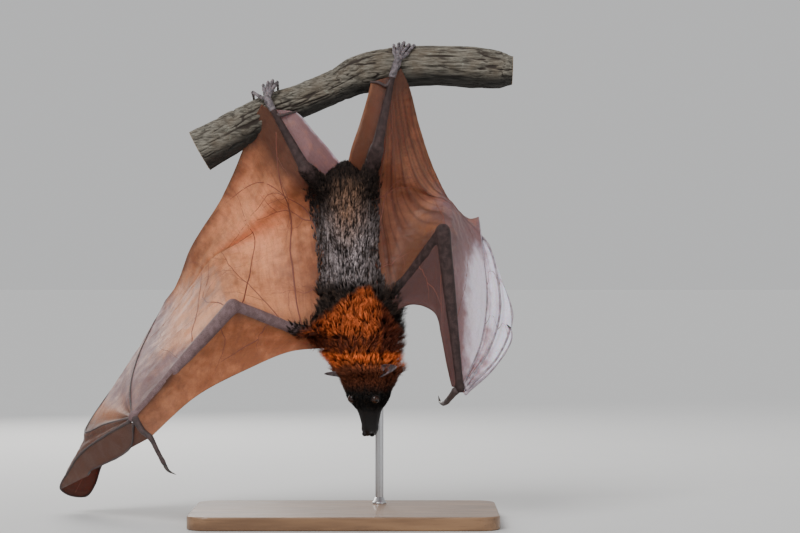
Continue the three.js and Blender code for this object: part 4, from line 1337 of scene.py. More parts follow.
def make_skin():
    """The one skin of the bat, its ears, claws and eyes; gives the meshes that grow fur."""
    shape = Shape()
    claws = Shape()
    verts, faces = flesh()
    shape.add(verts, [faces], bare=bareness(verts))
    body = (verts, faces)
    verts, faces = closed_rings(head_rings())
    shape.add(verts, faces, bare=0.0, paint=FACE_PAINT)
    head = (verts, faces[0])
    for side in SIDES:
        add_hand(shape, claws, side)
        add_foot(shape, claws, side)
    skin = shape.make("skin", [FURRED_SKIN, LIMB, FOOT, FACE_SKIN, SUNLIT_FINGER])
    limbs = FLESH_LIMBS + sorted(HAND_JOINTS["right"]) + ["foot"]
    finish(skin, FLESH_NODES + [f"{part}_{side}" for part in limbs for side in SIDES])
    ears = Shape()
    for side in SIDES:
        add_ear(ears, side)
    finish(ears.make("ears", [EAR_SKIN]), [f"ear_{side}" for side in SIDES])
    finish(claws.make("claws", [CLAW]), [f"thumb_claw_{side}" for side in SIDES])
    for side in SIDES:
        make_eye(side)
    return body, head


def make_eye(side):
    """An eyeball whose points know how far they turn from the way that it looks."""
    look, forward, over = eye_frame(side)
    turn = np.linspace(0.02, np.pi - 0.02, 60)[:, None]
    around = np.linspace(0, 2 * np.pi, 72, endpoint=False)[None, :]
    rings = (
        np.cos(turn)[..., None] * look
        + (np.sin(turn) * np.cos(around))[..., None] * forward
        + (np.sin(turn) * np.sin(around))[..., None] * over
    )
    bulge = EYE_RADIUS + 0.35 * hump(turn, 0.5)
    verts, faces = closed_rings(eye_centre(side) + rings * bulge[..., None])
    turns, arounds = np.broadcast_arrays(turn, np.cos(around))
    shape = Shape()
    shape.add(
        verts,
        faces,
        turn=np.append(turns.ravel(), [0, np.pi]),
        around=np.append(arounds.ravel(), [0, 0]),
    )
    finish(shape.make(f"eyeball_{side}", [EYE]), [f"eye_{side}"])


# ---- Wings ----


def swing_of(s, t):
    """The angle of a place on a sheet, seen from just outside its corner at the ankle."""
    return np.arctan2(t + 0.04, s + 0.04)


def rim_of(s, t):
    """1 inside the side membrane, falling to 0 at its edges that lie on the body."""
    return np.clip(np.minimum.reduce([s / 0.08, (1 - s) / 0.06, (1 - t) / 0.08]), 0, 1)


def pleats(angle, count, height):
    """Sharp-crested soft folds spread by an angle."""
    wave = 1 - np.abs(np.sin(angle * count))
    return height * (wave**1.5 - 0.4)


def side_relief(side):
    """Folds of the side membrane: long ones from the ankle and fine ones across."""

    def read_left(s, t, points):
        swing = swing_of(s, t) + 0.03 * rough(points, 60, 2, 3)
        far = np.hypot(s, t)
        folds = pleats(swing, 15.0, 2.0) * ease(far, 0.05, 0.3) * ease(far, 1.25, 0.7)
        cross = 0.55 * noise(points * np.array([1.0, 1.0, 3.4]), 11.0, 5)
        return (folds + cross + 0.35 * rough(points, 9, 2, 6)) * rim_of(s, t)

    def read_right(s, t, points):
        folds = 1.6 * np.sin(swing_of(s, t) * 13 + 1.2 * noise(points, 60, 2))
        folds = folds * ease(np.hypot(s, t), 0.1, 0.5)
        folds = folds * (0.4 + 0.6 * ease(noise(points, 70, 8), -0.3, 0.6))
        sag = 2.2 * np.sin(s * np.pi * 4 + 1.5 * noise(points, 90, 4)) * np.sin(np.pi * t)
        return (folds + sag + 0.5 * rough(points, 12, 3, 7)) * rim_of(s, t)

    return read_left if side == "left" else read_right


def web_relief(count, height, seed):
    """Folds along a web between two rays."""

    def read(s, t, points):
        edge = np.clip(np.minimum(s, 1 - s) / 0.12, 0, 1)
        folds = height * np.sin(s * np.pi * count + 0.8 * noise(points, 40, seed))
        return (folds + 0.35 * rough(points, 10, 3, seed + 1)) * edge

    return read


def corded(s, t):
    """A wing skin's thickness with a slight cord along its free edge, at t = 0."""
    return SKIN + 0.7 * hump(t, 0.012)


def marked(tint, shade, darkest):
    """The marks of a membrane as values for its points."""
    return {"tint": tint, "shade": np.clip(shade, 0, darkest)}


def side_marks(side):
    """Tint and painted shade of the side membrane, with painted glow, sheen and sunlight in its
    tint; s runs out from the body and t from foot to arm.
    """

    def read_right(s, t, points):
        # The glow is painted light shining through the skin; the mauve towards the arm and the
        # fifth finger is painted sheen; shade is painted shade near the foot, the arm, the free
        # edge and the body
        across = (points[..., 0] - GLOW["x"]) / GLOW["wide"]
        glow = hump(np.hypot(across, (points[..., 2] - GLOW["z"]) / GLOW["tall"]), 1)
        tint = 0.05 + 0.18 * glow + 0.46 * ease(s, 0.70, 0.98)
        tint = np.minimum(tint + 0.3 * hump(1 - t, 0.13) * ease(s, 0.1, 0.4), 0.52)
        near_foot = hump(np.hypot(s * 1.1, t), 0.36)
        near_arm = hump(1 - t, 0.09) * (1 - 0.5 * ease(s, 0.2, 0.5))
        shade = 0.40 - 0.40 * glow + 0.5 * near_foot + 0.5 * near_arm
        shade = shade + 0.3 * hump(t, 0.06) + 0.5 * ease(s, 0.2, 0.0)
        return marked(tint, shade + 0.16 * rough(points, 46, 3, 15), 0.88)

    def read_left(s, t, points):
        # The open panel between forearm and fifth finger is lilac with painted sunlight; the rest
        # lies in painted shade, with painted shade along the pleats
        sunlit_panel = ease(points[..., 0], 120, 160) * ease(points[..., 2], 366, 286)
        tint = 0.02 + 0.50 * ease(s, 0.2, 0.7) + 0.5 * sunlit_panel
        low = hump(1 - t, 0.34) * ease(s, 0.9, 0.6)
        shade = 0.58 + 0.3 * hump(np.hypot(s * 1.2, t), 0.26) + 0.24 * low
        shade = shade + 0.2 * hump(tint - 0.26, 0.14) - 0.14 * ease(s, 0.5, 0.8)
        shade = shade + 0.10 * rough(points, 40, 3, 15)
        swing = swing_of(s, t) + 0.03 * rough(points, 60, 2, 3)
        far = np.hypot(s, t)
        crease = hump(np.sin(swing * 15.0), 0.3) * ease(far, 1.2, 0.6)
        crease = crease + 0.7 * hump(np.sin(swing * 41.0 + 0.6), 0.24) * ease(far, 1.3, 0.5)
        return marked(tint, shade * (1 - 0.9 * sunlit_panel) + 0.34 * crease, 0.88)

    return read_left if side == "left" else read_right


def arm_marks(side):
    """Tint and painted shade of the arm membrane: on the right, painted shadow along the arm, at
    the shoulder and towards the wrist; on the left, deep painted shade with mauve painted sheen.
    """

    def read(s, t, points):
        if side == "left":
            return marked(0.56 + 0.06 * s, 0.84 + 0.1 * hump(t, 0.06), 0.9)
        shade = 0.75 * hump(s, 0.16) + 0.5 * hump(1 - t, 0.12) + 0.2 + 0.45 * ease(s, 0.72, 1.0)
        return marked(0.04 + 0.1 * ease(s, 0.6, 1.0), shade, 0.9)

    return read


def tail_marks(side):
    """Tint and painted shade of the tail membrane: the left one deep in painted shade, the right
    one mauve with painted sheen.
    """
    tint, shade = (0.0, 0.76) if side == "left" else (0.54, 0.3)
    return lambda s, t, points: marked(
        tint + 0.3 * hump(s, 0.12), shade + 0.3 * hump(1 - s, 0.3), 0.92
    )


def hand_marks(side):
    """Tint and painted shade of the webs of a hand: painted shade along the rays and at the wrist,
    lilac painted sunlight on the left hand, and deep painted shade low on the right hand.
    """

    def read(s, t, points):
        shade = 0.2 * hump(np.minimum(s, 1 - s), 0.05) + 0.3 * hump(t, 0.12)
        if side == "left":
            return marked(0.8 + 0.25 * ease(points[..., 0], 158, 190), shade, 0.92)
        low = ease(points[..., 2], 150, 96)
        return marked(np.maximum(0.5 - 0.6 * low, 0), shade + 0.52 + 0.36 * low, 0.92)

    return read


# How far a membrane stands up over the arm from shoulder to wrist
ARM_LIFT = [15.0, 12.0, 8.2, 7.6, 6.4, 4.8, 3.4]


def draped(surface, width):
    """A sheet raised over the arm that it runs onto, within a share of its height."""

    def read(s, t):
        lift = listed(ARM_LIFT, s) * hump(1 - t, width)
        return surface(s, t) - lift[..., None] * np.array([0.0, 1.0, 0.0])

    return read


# Columns and rows of each membrane's grid
GRIDS = {
    "side_membrane": (166, 118),
    "arm_membrane": (110, 40),
    "tail_membrane": (34, 70),
    "hand_membrane_5_4": (54, 120),
    "hand_membrane_4_3": (54, 136),
    "hand_membrane_3_2": (20, 70),
    "thumb_web": (18, 32),
}


def wing_surfaces(side):
    """Every membrane of one wing: its surface, grid, relief, marks and thickness."""
    joints = SIDES[side]
    arm = two_bones(*arm_of(side), ELBOW / (len(joints["arm"]) - 1))
    leg = two_bones(*leg_of(side), 0.5)
    hand = hand_of(side)

    def soft_arm(share):
        share = np.asarray(share)
        bend = 0.055 * ease(np.minimum(share, 1 - share), 0.0, 0.12)
        return 0.25 * (arm(share - bend) + 2 * arm(share) + arm(share + bend))

    def part_of(curve, end):
        return lambda share: curve(np.asarray(share) * end)

    def fifth(share):
        return hand["digit5"](1 - np.asarray(share))

    free = Curve(joints["free_edge"][::-1])
    side_sheet = stretched(free, soft_arm, evenly(Curve(joints["flank"])), fifth, 4)
    lead = joints["leading_edge"]
    ends = [Curve([lead[end], joints["arm"][end]]) for end in (0, -1)]
    arm_sheet = stretched(Curve(lead), soft_arm, *ends, 3)
    tail_sheet = ruled(Curve(joints["tail_edge"]), leg)
    web_32 = ruled(part_of(hand["digit3"], PALM_SHARE[side]), hand["digit2"])
    thumb_web = ruled(part_of(Curve(joints["thumb"]), 0.5), part_of(hand["digit2"], 0.36), 0.5)
    web_54 = ruled(hand["digit5"], hand["digit4"], 4)
    web_43 = ruled(hand["digit4"], hand["digit3"], 3)
    in_hand = hand_marks(side)
    sheets = [
        (draped(side_sheet, 0.09), side_relief(side), side_marks(side), corded),
        (draped(arm_sheet, 0.3), web_relief(3, 0.8, 21), arm_marks(side), corded),
        (tail_sheet, web_relief(2, 0.8, 31), tail_marks(side), SKIN),
        (web_54, web_relief(4, 1.2, 41), in_hand, SKIN),
        (web_43, web_relief(3, 1.0, 51), in_hand, SKIN),
        (web_32, None, in_hand, SKIN),
        (thumb_web, None, in_hand, SKIN),
    ]
    return {name: (one[0], *GRIDS[name], *one[1:]) for name, one in zip(GRIDS, sheets)}


def make_vein(shape, surface, knots, radii, seed):
    """A raised vein that follows a sheet through places given in its own terms."""
    share = np.linspace(0, 1, 28)
    s, t = Curve([(a * 100, b * 100, 0) for a, b in knots])(share).T[:2] / 100
    line = np.stack([share * 40, share * 0 + seed, share * 0], -1)
    s = s + 0.006 * noise(line, 3.0, seed)
    t = t + 0.006 * noise(line, 3.0, seed + 1)
    path = surface(np.clip(s, 0, 1), np.clip(t, 0, 1))
    shape.add(*tube(path, listed(radii, share) * 1.1, 5, 1))


def branches(start, heading, length, width, depth, chance):
    """A vein and the finer veins that leave it, as lists of places and radii."""
    steps = 5
    knots = [np.array(start)]
    for _ in range(steps):
        heading = heading + chance.normal(0, 0.22)
        move = np.array([math.cos(heading), math.sin(heading)]) * length / steps
        knots.append(np.clip(knots[-1] + move, 0.01, 0.99))
    found = [([tuple(knot) for knot in knots], [width, width * 0.8, width * 0.5])]
    if depth > 0:
        for at in (1, 2, 3, 4):
            turn = heading + chance.choice([-1, 1]) * chance.uniform(0.5, 1.0)
            found += branches(knots[at], turn, length * 0.55, width * 0.6, depth - 1, chance)
    return found


def relieved(surface, relief):
    """A sheet's surface with its relief added, read anywhere."""

    def read(s, t):
        step = 1e-3
        s, t = np.asarray(s, float), np.asarray(t, float)
        points = surface(s, t)
        ds = surface(np.clip(s + step, 0, 1), t) - surface(np.clip(s - step, 0, 1), t)
        dt = surface(s, np.clip(t + step, 0, 1)) - surface(s, np.clip(t - step, 0, 1))
        normal = unit(np.cross(ds, dt))
        normal[normal[..., 1] > 0] *= -1
        return points + normal * relief(s, t, points)[..., None] if relief else points

    return read


# Where veins leave the ankle, flank and arm: place on the sheet, heading, length, width
VEIN_ROOTS = [
    ((0.05, 0.12), 0.9, 0.5, 0.75),
    ((0.02, 0.55), 0.1, 0.5, 0.8),
    ((0.03, 0.86), -0.3, 0.45, 0.7),
    ((0.45, 0.98), -1.3, 0.6, 0.75),
    ((0.66, 0.98), -1.5, 0.7, 0.75),
    ((0.84, 0.98), -1.7, 0.7, 0.6),
    ((0.98, 0.5), 3.0, 0.35, 0.5),
]
VEINS = {
    "right": [
        ([(0.10, 0.16), (0.22, 0.3), (0.32, 0.46), (0.36, 0.7), (0.34, 1.0)], [0.7, 0.9, 1.0]),
        ([(0.02, 0.9), (0.12, 0.6), (0.24, 0.36), (0.4, 0.14), (0.55, 0.02)], [1.0, 0.7, 0.3]),
        ([(0.62, 0.98), (0.55, 0.7), (0.50, 0.4), (0.46, 0.05)], [0.9, 0.6, 0.3]),
        ([(0.80, 0.98), (0.76, 0.7), (0.72, 0.36), (0.70, 0.04)], [0.8, 0.6, 0.3]),
        ([(0.24, 0.36), (0.34, 0.28), (0.46, 0.28), (0.60, 0.22)], [0.6, 0.4, 0.2]),
        ([(0.50, 0.4), (0.60, 0.42), (0.70, 0.5)], [0.5, 0.2]),
    ],
    "left": [
        ([(0.08, 0.9), (0.2, 0.55), (0.38, 0.3), (0.62, 0.1)], [0.8, 0.5, 0.25]),
        ([(0.70, 0.98), (0.62, 0.7), (0.56, 0.4), (0.52, 0.05)], [0.7, 0.5, 0.25]),
        ([(0.86, 0.98), (0.80, 0.6), (0.78, 0.2)], [0.6, 0.4, 0.2]),
    ],
}


ARM_VEINS = [
    [(0.5, 1.0), (0.52, 0.6), (0.46, 0.1)],
    [(0.72, 1.0), (0.66, 0.5), (0.70, 0.08)],
    [(0.52, 0.6), (0.62, 0.35), (0.7, 0.3)],
]
HAND_VEINS = [[(0.02, at), (0.4, at + 0.06), (0.97, at + 0.02)] for at in (0.28, 0.46, 0.7)]


def veins_of(name, side):
    """The veins of one membrane, each as its places and radii, and their first seed."""
    if name == "side_membrane":
        chance = np.random.default_rng(31)
        found = list(VEINS[side])
        for root in VEIN_ROOTS if side == "right" else VEIN_ROOTS[:3]:
            found += branches(*root, 2, chance)
        return found, 0
    if name == "arm_membrane":
        return [(knots, [0.7, 0.5, 0.25]) for knots in ARM_VEINS], 9
    if name in ("hand_membrane_5_4", "hand_membrane_4_3"):
        return [(knots, [0.5, 0.3, 0.4]) for knots in HAND_VEINS], 20
    return [], 0


def make_wings():
    """The membranes of both wings, a piece each, and the veins of each wing."""
    for side in SIDES:
        veins = Shape()
        for name, (surface, *grid, relief, marks, thickness) in wing_surfaces(side).items():
            shape = Shape()
            sheet(shape, surface, *grid, thickness, relief, marks)
            nodes = [] if name == "thumb_web" else [f"{name}_{side}"]
            finish(shape.make(f"wing_{name}_{side}", [WING]), nodes)
            found, first_seed = veins_of(name, side)
            for seed, (knots, radii) in enumerate(found, first_seed):
                make_vein(veins, relieved(surface, relief), knots, radii, seed)
        finish(veins.make(f"veins_{side}", [VEIN]))


# ---- Coat ----


def scatter(verts, faces, spacing, keep, chance):
    """Places spread over a mesh with their normals, kept by a rule."""
    corners = verts[faces]
    one = np.cross(corners[:, 1] - corners[:, 0], corners[:, 2] - corners[:, 0])
    two = np.cross(corners[:, 2] - corners[:, 0], corners[:, 3] - corners[:, 0])
    area = (np.linalg.norm(one, axis=1) + np.linalg.norm(two, axis=1)) / 2
    normal = unit(one + two)
    kept = keep(corners.mean(1))
    area = np.where(kept, area, 0)
    count = int(area.sum() / spacing**2)
    pick = chance.choice(len(faces), count, p=area / area.sum())
    a, b = chance.random((2, count, 1))
    top = mix(corners[pick, 0], corners[pick, 1], a)
    low = mix(corners[pick, 3], corners[pick, 2], a)
    return mix(top, low, b), normal[pick]


def coat_at(points, on_head):
    """Length, width and lift of the fur at places of the skin."""
    z = points[..., 2]
    out = outside_body(points)
    if on_head:
        along = in_head(points)[0]
        length = 17.5 - 8.5 * ease(along, 0, 9) - 4.6 * ease(along, 6, 30)
        length = length - 1.9 * ease(along, 34, 56) - 1.0 * ease(along, 58, 72)
        width = mix(0.82, 0.50, ease(along, 10, 50))
        lift = mix(0.7, 0.42, ease(along, 6, 40)) - 0.26 * ease(along, 40, 54)
        return length, width, lift
    mantle = ease(z, 292, 262)
    limb = np.where(z > LEG_HEIGHT, ease(out, 0, 36), ease(out, 2, 26))
    side_on = ease(np.abs(points[..., 0] - 18), 18, 40) * ease(z, 262, 240)
    length = mix(9.0, 14.0, mantle) - 3.0 * ease(z, 388, 412) - 3.0 * ease(z, 208, 184)
    length = mix(length, 4.2, limb) + 3.0 * side_on
    lift = mix(0.26, 0.5, mantle) + 0.2 * hump(z - 274, 9) + 0.6 * side_on
    width = mix(0.92, 0.82, mantle) * mix(1, 0.5, limb)
    return length, width, mix(lift, 0.2, limb)


def lie_of(points, normal, on_head, chance):
    """The way that the hair lies: from nose to rump, and out along the limbs."""
    z = points[..., 2]
    out = outside_body(points)
    sway = noise(points, 26, 61)[:, None] * 0.28
    way = UP + np.array([1.0, 0, 0]) * sway
    if not on_head:
        sign = np.sign(points[:, 0] - 12)[:, None]
        limb = (np.where(z > LEG_HEIGHT, 0.7, 1.0) * ease(out, 2, 40))[:, None]
        way = way * (1 - 0.75 * limb) + limb * sign * [1.0, -0.35, 0.15]
        way[:, 0] += ease(z, 230, 200) * 0.45 * np.clip((points[:, 0] - 20) / 40, -1, 1)
        swirl = (ease(z, 292, 266) * ease(z, 180, 204))[:, None] * 1.6
        way = way + swirl * np.array([0.95, 0, 0]) * noise(points, 8.5, 63)[:, None]
        way = way + swirl * np.array([0, 0, 0.5]) * noise(points, 10.0, 64)[:, None]
    way = way + chance.normal(0, 0.11, points.shape)
    return unit(way - normal * np.sum(way * normal, -1, keepdims=True))


def tufts(roots, normal, way, length, width, lift, rows, chance):
    """Thin closed three-sided locks that bend over along the coat, as points and faces."""
    count = len(roots)
    along = np.linspace(0, 1, rows + 1)
    bend = np.minimum(lift[:, None] * (1.45 - 1.25 * along[None, :-1]), 1.3)
    step = (length / rows)[:, None]
    move = np.cos(bend)[..., None] * way[:, None] + np.sin(bend)[..., None] * normal[:, None]
    path = np.cumsum(np.concatenate([roots[:, None], move * step[..., None]], 1), axis=1)
    across = np.cross(way, normal)
    turn = chance.uniform(-0.7, 0.7, count)[:, None]
    across = across * np.cos(turn) + normal * np.sin(turn)
    above = np.cross(across, way)
    taper = np.interp(along[:-1], [0, 0.35, 1], [0.75, 1.0, 0.35])
    size = width[:, None] * taper[None]
    corners = []
    for swing in (0.25, np.pi - 0.25, 1.5 * np.pi):
        spread = math.cos(swing) * across + 0.45 * math.sin(swing) * above
        corners.append(path[:, :-1] + spread[:, None] * size[..., None] / 2)
    verts = np.concatenate([np.stack(corners, 2).reshape(count, -1, 3), path[:, -1:]], 1)
    walls = grid_faces(rows, 3, True)
    walls = np.stack([walls[:, :3], walls[:, [0, 2, 3]]], 1).reshape(-1, 3)
    last = 3 * (rows - 1)
    tip = [(last + k, last + (k + 1) % 3, 3 * rows) for k in range(3)]
    faces = np.array([(0, 2, 1), *walls, *tip])
    share = np.append(np.repeat(along[:-1], 3), 1.0)
    return verts, outward(verts[0] - verts[0].mean(0), faces), share


PATCH = 0.003  # size of one tuft's patch on the map
MAP_AXIS = (10.0, -4.0)  # x and y of the upright line that the coat's map is wound round
MAP_LOW, MAP_TALL = 90.0, 350.0  # height of the map's lower edge, and the height it covers
MOST_FACES = 196000  # in one piece of the coat
MANTLE_EDGE = 290.0  # height at which the mantle meets the coat of the back
FRINGE_SHARE, FRINGE_LOW = 0.16, 236.0  # hairy share of a side membrane, and its lowest height
# Slot, spacing of clumps, hairs in each, their spread, rings along a hair, seed
COATS = {
    "mantle": ("coat_mantle", 2.8, 9, 1.4, 3, 5),
    "back": ("coat_dark", 2.3, 6, 1.9, 2, 6),
    "flank": ("coat_dark", 1.6, 5, 1.5, 2, 8),
    "head": ("coat_head", 1.3, 5, 1.1, 2, 7),
}


def make_coat(name, recipe, mesh, keep, on_head=False):
    """Locks of hair in clumps over part of the skin, in pieces of a fair size."""
    slot_name, spacing, children, spread, rows, seed = COATS[recipe]
    chance = np.random.default_rng(seed)
    centre, normal = scatter(*mesh, spacing, keep, chance)
    length, width, lift = coat_at(centre, on_head)
    way = lie_of(centre, normal, on_head, chance)
    size = len(centre)
    clump = np.repeat(np.arange(size), children)
    side_way = np.cross(way, normal)
    a, b = chance.normal(0, 0.45, (2, len(clump), 1)) * spread
    offset = side_way[clump] * a + way[clump] * b
    sunk = 0.5 + np.sum(offset**2, -1, keepdims=True) / 44
    roots = centre[clump] + offset - normal[clump] * sunk
    long = length[clump] * chance.uniform(0.6, 1.2, len(clump))
    pulled = way[clump] - offset * (0.55 / np.maximum(long, 1)[:, None])
    pulled = unit(pulled + chance.normal(0, 0.06, pulled.shape))
    lifted = (lift * chance.uniform(0.7, 1.35, size))[clump] * chance.uniform(0.75, 1.3, len(clump))
    wide = width[clump] * chance.uniform(0.75, 1.25, len(clump))
    points, pattern, share = tufts(roots, normal[clump], pulled, long, wide, lifted, rows, chance)
    tone = chance.random(size)[clump] * 0.6 + chance.random(len(clump)) * 0.4
    x, y, z = roots.T
    around = np.arctan2(x - MAP_AXIS[0], MAP_AXIS[1] - y) / (2 * np.pi) + 0.5
    height = (z - MAP_LOW) / MAP_TALL
    reach = np.sum((points - roots[:, None]) * side_way[clump][:, None], -1)
    u = around[:, None] + PATCH * 0.5 * np.clip(reach, -1, 1)
    v = height[:, None] + PATCH * (share[None] - 0.5)
    flat = np.stack([u, v], -1)
    parts = int(np.ceil(len(roots) / (MOST_FACES // len(pattern))))
    for part, chosen in enumerate(np.array_split(np.argsort(z), parts)):
        count, corners = len(chosen), points.shape[1]
        base = np.arange(count)[:, None, None] * corners
        shape = Shape()
        shape.add(
            points[chosen],
            [(pattern[None] + base).reshape(-1, 3)],
            flat=flat[chosen].reshape(-1, 2),
            along=np.tile(share, count),
            shade=np.repeat(tone[chosen], corners),
        )
        label = name if parts == 1 else f"{name}_{part + 1}"
        finish(shape.make(label, [FUR], map_name="OFBake"))


def furred_body(points):
    """Where fur grows on the body: all over the trunk, and a little way out on the limbs."""
    limit = np.where(points[:, 2] > LEG_HEIGHT, 38, 32)
    return outside_body(points) < limit + noise(points, 9, 71) * 12


def furred_mantle(points):
    """The furred part of the body that the mantle covers."""
    return furred_body(points) & (points[:, 2] < MANTLE_EDGE)


def furred_back(points):
    """The furred part of the body above the mantle."""
    return furred_body(points) & (points[:, 2] >= MANTLE_EDGE)


def furred_head(points):
    """Where fur grows on the head: not on the nose, the lids or the line of the lips."""
    along, _, crown = in_head(points)
    keep = along < 73 + noise(points, 4, 81) * 1.5
    for side in SIDES:
        keep &= np.linalg.norm(points - eye_centre(side), axis=1) > 6.3
    lip = -mix(MOUTH["corner"], MOUTH["front"], ease(along, MOUTH["from"], MOUTH["end"]))
    return keep & ~((np.abs(crown - lip) < 0.7) & (along > 34))


def fringe_of(side):
    """The part of a side membrane beside the body, as points and faces."""
    surface, across, down, relief, _, _ = wing_surfaces(side)["side_membrane"]
    front, _ = sheet(Shape(), surface, across, down, SKIN, relief)
    columns = int(across * FRINGE_SHARE)
    kept = front[:, :columns].reshape(-1, 3)
    faces = grid_faces(down + 1, columns, False)
    corners = kept[faces]
    cross = np.cross(corners[:, 1] - corners[:, 0], corners[:, 2] - corners[:, 0])
    return kept, faces if cross[:, 1].mean() < 0 else faces[:, ::-1]


def thinning(points):
    """Where hair grows on a side membrane: less and less of it away from the body."""
    out = outside_body(points)
    share = 0.5 + 0.5 * noise(points, 1.7, 91)
    return (out > -9) & (share > 0.1 + ease(out, -4, 24)) & (points[:, 2] > FRINGE_LOW)


def make_fur(body, head):
    """The coat: mantle, back, flanks and head."""
    make_coat("coat_mantle", "mantle", body, furred_mantle)
    make_coat("coat_back", "back", body, furred_back)
    for side in SIDES:
        make_coat(f"coat_flank_{side}", "flank", fringe_of(side), thinning)
    make_coat("coat_head", "head", head, furred_head, on_head=True)


# ---- Perch and stand ----


PERCH_LENGTH = 420.0  # along its bark
BARK_ROUND, BARK_STRETCH = 26.0, 0.13  # the bark's noise is wound at a radius and drawn out


def make_perch():
    """A cut length of furrowed branch with sawn ends."""
    rows, columns, steps = 240, 200, 12
    share = np.linspace(0, 1, rows)
    centre = Curve([point for point, _ in PERCH_AXIS])(share)
    ahead = unit(np.gradient(centre, axis=0))
    side = -AWAY
    top = np.cross(side, ahead)
    radius = listed([size for _, size in PERCH_AXIS], share)[:, None]
    angle = np.linspace(0, 2 * np.pi, columns, endpoint=False)[None, :]
    length = (share * PERCH_LENGTH)[:, None] * BARK_STRETCH
    wound = (length, np.cos(angle) * BARK_ROUND, np.sin(angle) * BARK_ROUND)
    wrap = np.stack(np.broadcast_arrays(*wound), -1)
    ridge = np.abs(noise(wrap, 9.0, 91)) + 0.5 * np.abs(noise(wrap * [1.4, 1, 1], 4.4, 92))
    split = np.abs(noise(wrap * [1.8, 1, 1], 5.2, 96)) + 0.35 * np.abs(noise(wrap, 2.4, 97))
    furrow = np.maximum(ease(ridge, 0.30, 0.04), 0.7 * ease(split, 0.3, 0.03))
    plates = 0.5 * rough(wrap * [2.2, 1, 1], 7.0, 3, 93)
    fine = 0.22 * rough(wrap * [3.0, 1, 1], 2.2, 3, 94)
    reach = radius - 0.6 - 2.3 * furrow + plates + fine
    rings = centre[:, None] + reach[..., None] * (
        np.cos(angle)[..., None] * side + np.sin(angle)[..., None] * top[:, None]
    )
    inner = np.linspace(1, 0.05, steps)[:, None, None]
    ends = []
    for end, sign in ((0, -1), (-1, 1)):
        cap = centre[end] + (rings[end] - centre[end])[None] * inner[::sign]
        ends.append(cap + sign * ahead[end] * (0.6 + 0.25 * noise(cap, 2.5, 95)[..., None]))
    verts, faces = closed_rings(np.concatenate([ends[0], rings, ends[1]]))
    # Painted shade on the underside of the branch
    lower = 0.93 * ease(np.sin(angle), 0.05, 0.75) + 0 * length

    def over_all(middle, at_ends):
        pad = ((steps, steps), (0, 0))
        whole = np.pad(middle, pad, constant_values=at_ends)
        return np.append(whole.ravel(), [at_ends, at_ends])

    marks = {"furrow": over_all(furrow, 0), "under": over_all(lower, 0)}
    shape = Shape()
    shape.add(verts, faces, end=over_all(np.zeros((rows, columns)), 1), **marks)
    finish(shape.make("perch_bark", [BARK]), ["perch"])


ROD = {"x": 40.0, "y": 62.0, "radius": 5.0, "low": 9.0, "bend": 478.0, "top": 531.0, "end": 8.0}
ROD_BEND = 24.0  # how far back the bend reaches
COLLAR = {"low": 15.6, "top": 19.0, "radii": [8.2, 8.6, 8.6, 8.6, 8.6, 8.4, 8.0, 7.2]}
BASE = {"half_wide": 180.0, "half_deep": 108.0, "height": 16.0, "corner": 26.0, "round": 2.2}


def upright(low, top, count):
    """Points straight up the rod between two heights."""
    return np.stack(
        [np.full(count, ROD["x"]), np.full(count, ROD["y"]), np.linspace(low, top, count)], -1
    )


def make_stand():
    """A bent steel rod in a round-cornered oak base."""
    x, y, bend, top = (ROD[key] for key in ("x", "y", "bend", "top"))
    swing = np.linspace(0, 1, 30)[:, None]
    a, b, c = np.array([[x, y, bend], [x, y, top], [x, y - ROD_BEND, top]])
    arc = a * (1 - swing) ** 2 + 2 * b * swing * (1 - swing) + c * swing**2
    run = mix(c, np.array([x, ROD["end"], top]), np.linspace(0, 1, 10)[:, None])
    path = np.concatenate([upright(ROD["low"], bend, 30)[:-1], arc[:-1], run])
    shape = Shape()
    shape.add(*tube(path, ROD["radius"], 40, 3))
    shape.add(*tube(upright(COLLAR["low"], COLLAR["top"], 8), COLLAR["radii"], 48, 1))
    finish(shape.make("stand_rod_steel", [STEEL]), ["stand_rod"])
    corner, edge = BASE["corner"], BASE["round"]
    quarter = np.linspace(0, np.pi / 2, 14)
    around = np.concatenate([quarter + k * np.pi / 2 for k in range(4)])
    sign_x, sign_y = np.repeat([[1, -1, -1, 1], [1, 1, -1, -1]], 14, axis=1)
    turn = np.linspace(0, np.pi / 2, 6)
    profile = [(edge * (1 - math.sin(a)), edge * (1 - math.cos(a))) for a in turn]
    levels = profile + [(inset, BASE["height"] - low) for inset, low in profile[::-1]]
    rings = []
    for inset, z in levels:
        across = sign_x * (BASE["half_wide"] - corner) + np.cos(around) * (corner - inset)
        along = sign_y * (BASE["half_deep"] - corner) + np.sin(around) * (corner - inset)
        rings.append(np.stack([across, along, np.full(len(across), z)], -1))
    shape = Shape()
    shape.add(*closed_rings(np.array(rings)))
    base = shape.make("stand_base_oak", [OAK], smooth=False)
    finish(base, ["stand_base"])


# ---- The whole, its floor, lights and camera ----


MIDDLE = Vector((0.0, 0.0, 0.32))  # what the lamps point at
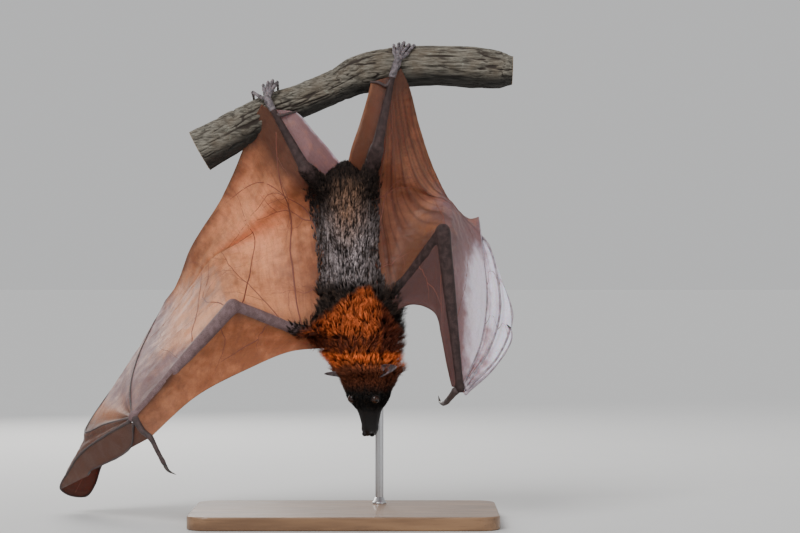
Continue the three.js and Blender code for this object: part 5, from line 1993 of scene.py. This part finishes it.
# Place, size, power and colour of each soft lamp
LAMPS = {
    "fill": ((1.8, -1.5, 0.7), 1.6, 8, (0.95, 0.97, 1.0)),
    "back": ((-0.7, 1.6, 1.1), 1.3, 24, (1.0, 0.97, 0.93)),
}
FLOOR_HALF, FLOOR_DEPTH = 30000.0, 20.0
BACKDROP = (0.66, 0.665, 0.67, 1)


def staged(name, data, place, turn):
    """A lamp or camera of the stage, set in its place."""
    thing = bpy.data.objects.new(name, data)
    bpy.context.scene.collection.objects.link(thing)
    thing.location = place
    thing.rotation_euler = turn
    return thing


def make_stage():
    """The floor, the light round the part, its lamps and the camera."""
    corners = np.array([(-1, -1), (1, -1), (1, 1), (-1, 1)]) * FLOOR_HALF
    low, high = (np.insert(corners, 2, z, axis=1) for z in (-FLOOR_DEPTH, 0.0))
    faces = [(0, 3, 2, 1), (4, 5, 6, 7), (0, 1, 5, 4), (1, 2, 6, 5), (2, 3, 7, 6), (3, 0, 4, 7)]
    plane = Shape()
    plane.add(np.concatenate([low, high]), [np.array(faces)])
    plane.make("floor", [FLOOR], smooth=False)
    world = bpy.data.worlds.new("Studio")
    world.use_nodes = True
    world.node_tree.nodes["Background"].inputs["Color"].default_value = BACKDROP
    world.node_tree.nodes["Background"].inputs["Strength"].default_value = 0.9
    bpy.context.scene.world = world
    sun = bpy.data.lights.new("key", "SUN")
    sun.energy = 2.0
    sun.angle = 0.5
    staged("key", sun, (0, 0, 0), (0.85, 0.0, -0.5))
    for name, (place, size, power, colour) in LAMPS.items():
        lamp = bpy.data.lights.new(name, "AREA")
        lamp.size = size
        lamp.energy = power
        lamp.color = colour
        turn = (MIDDLE - Vector(place)).to_track_quat("-Z", "Y").to_euler()
        staged(name, lamp, place, turn)
    data = bpy.data.cameras.new("camera")
    data.sensor_width = 36.0
    data.lens = 114.4
    camera = staged("camera", data, (0.0649, -3.0, 0.3015), (math.pi / 2, 0, 0))
    bpy.context.scene.camera = camera


BODY, HEAD = make_skin()
make_wings()
make_fur(BODY, HEAD)
make_perch()
make_stand()
make_stage()
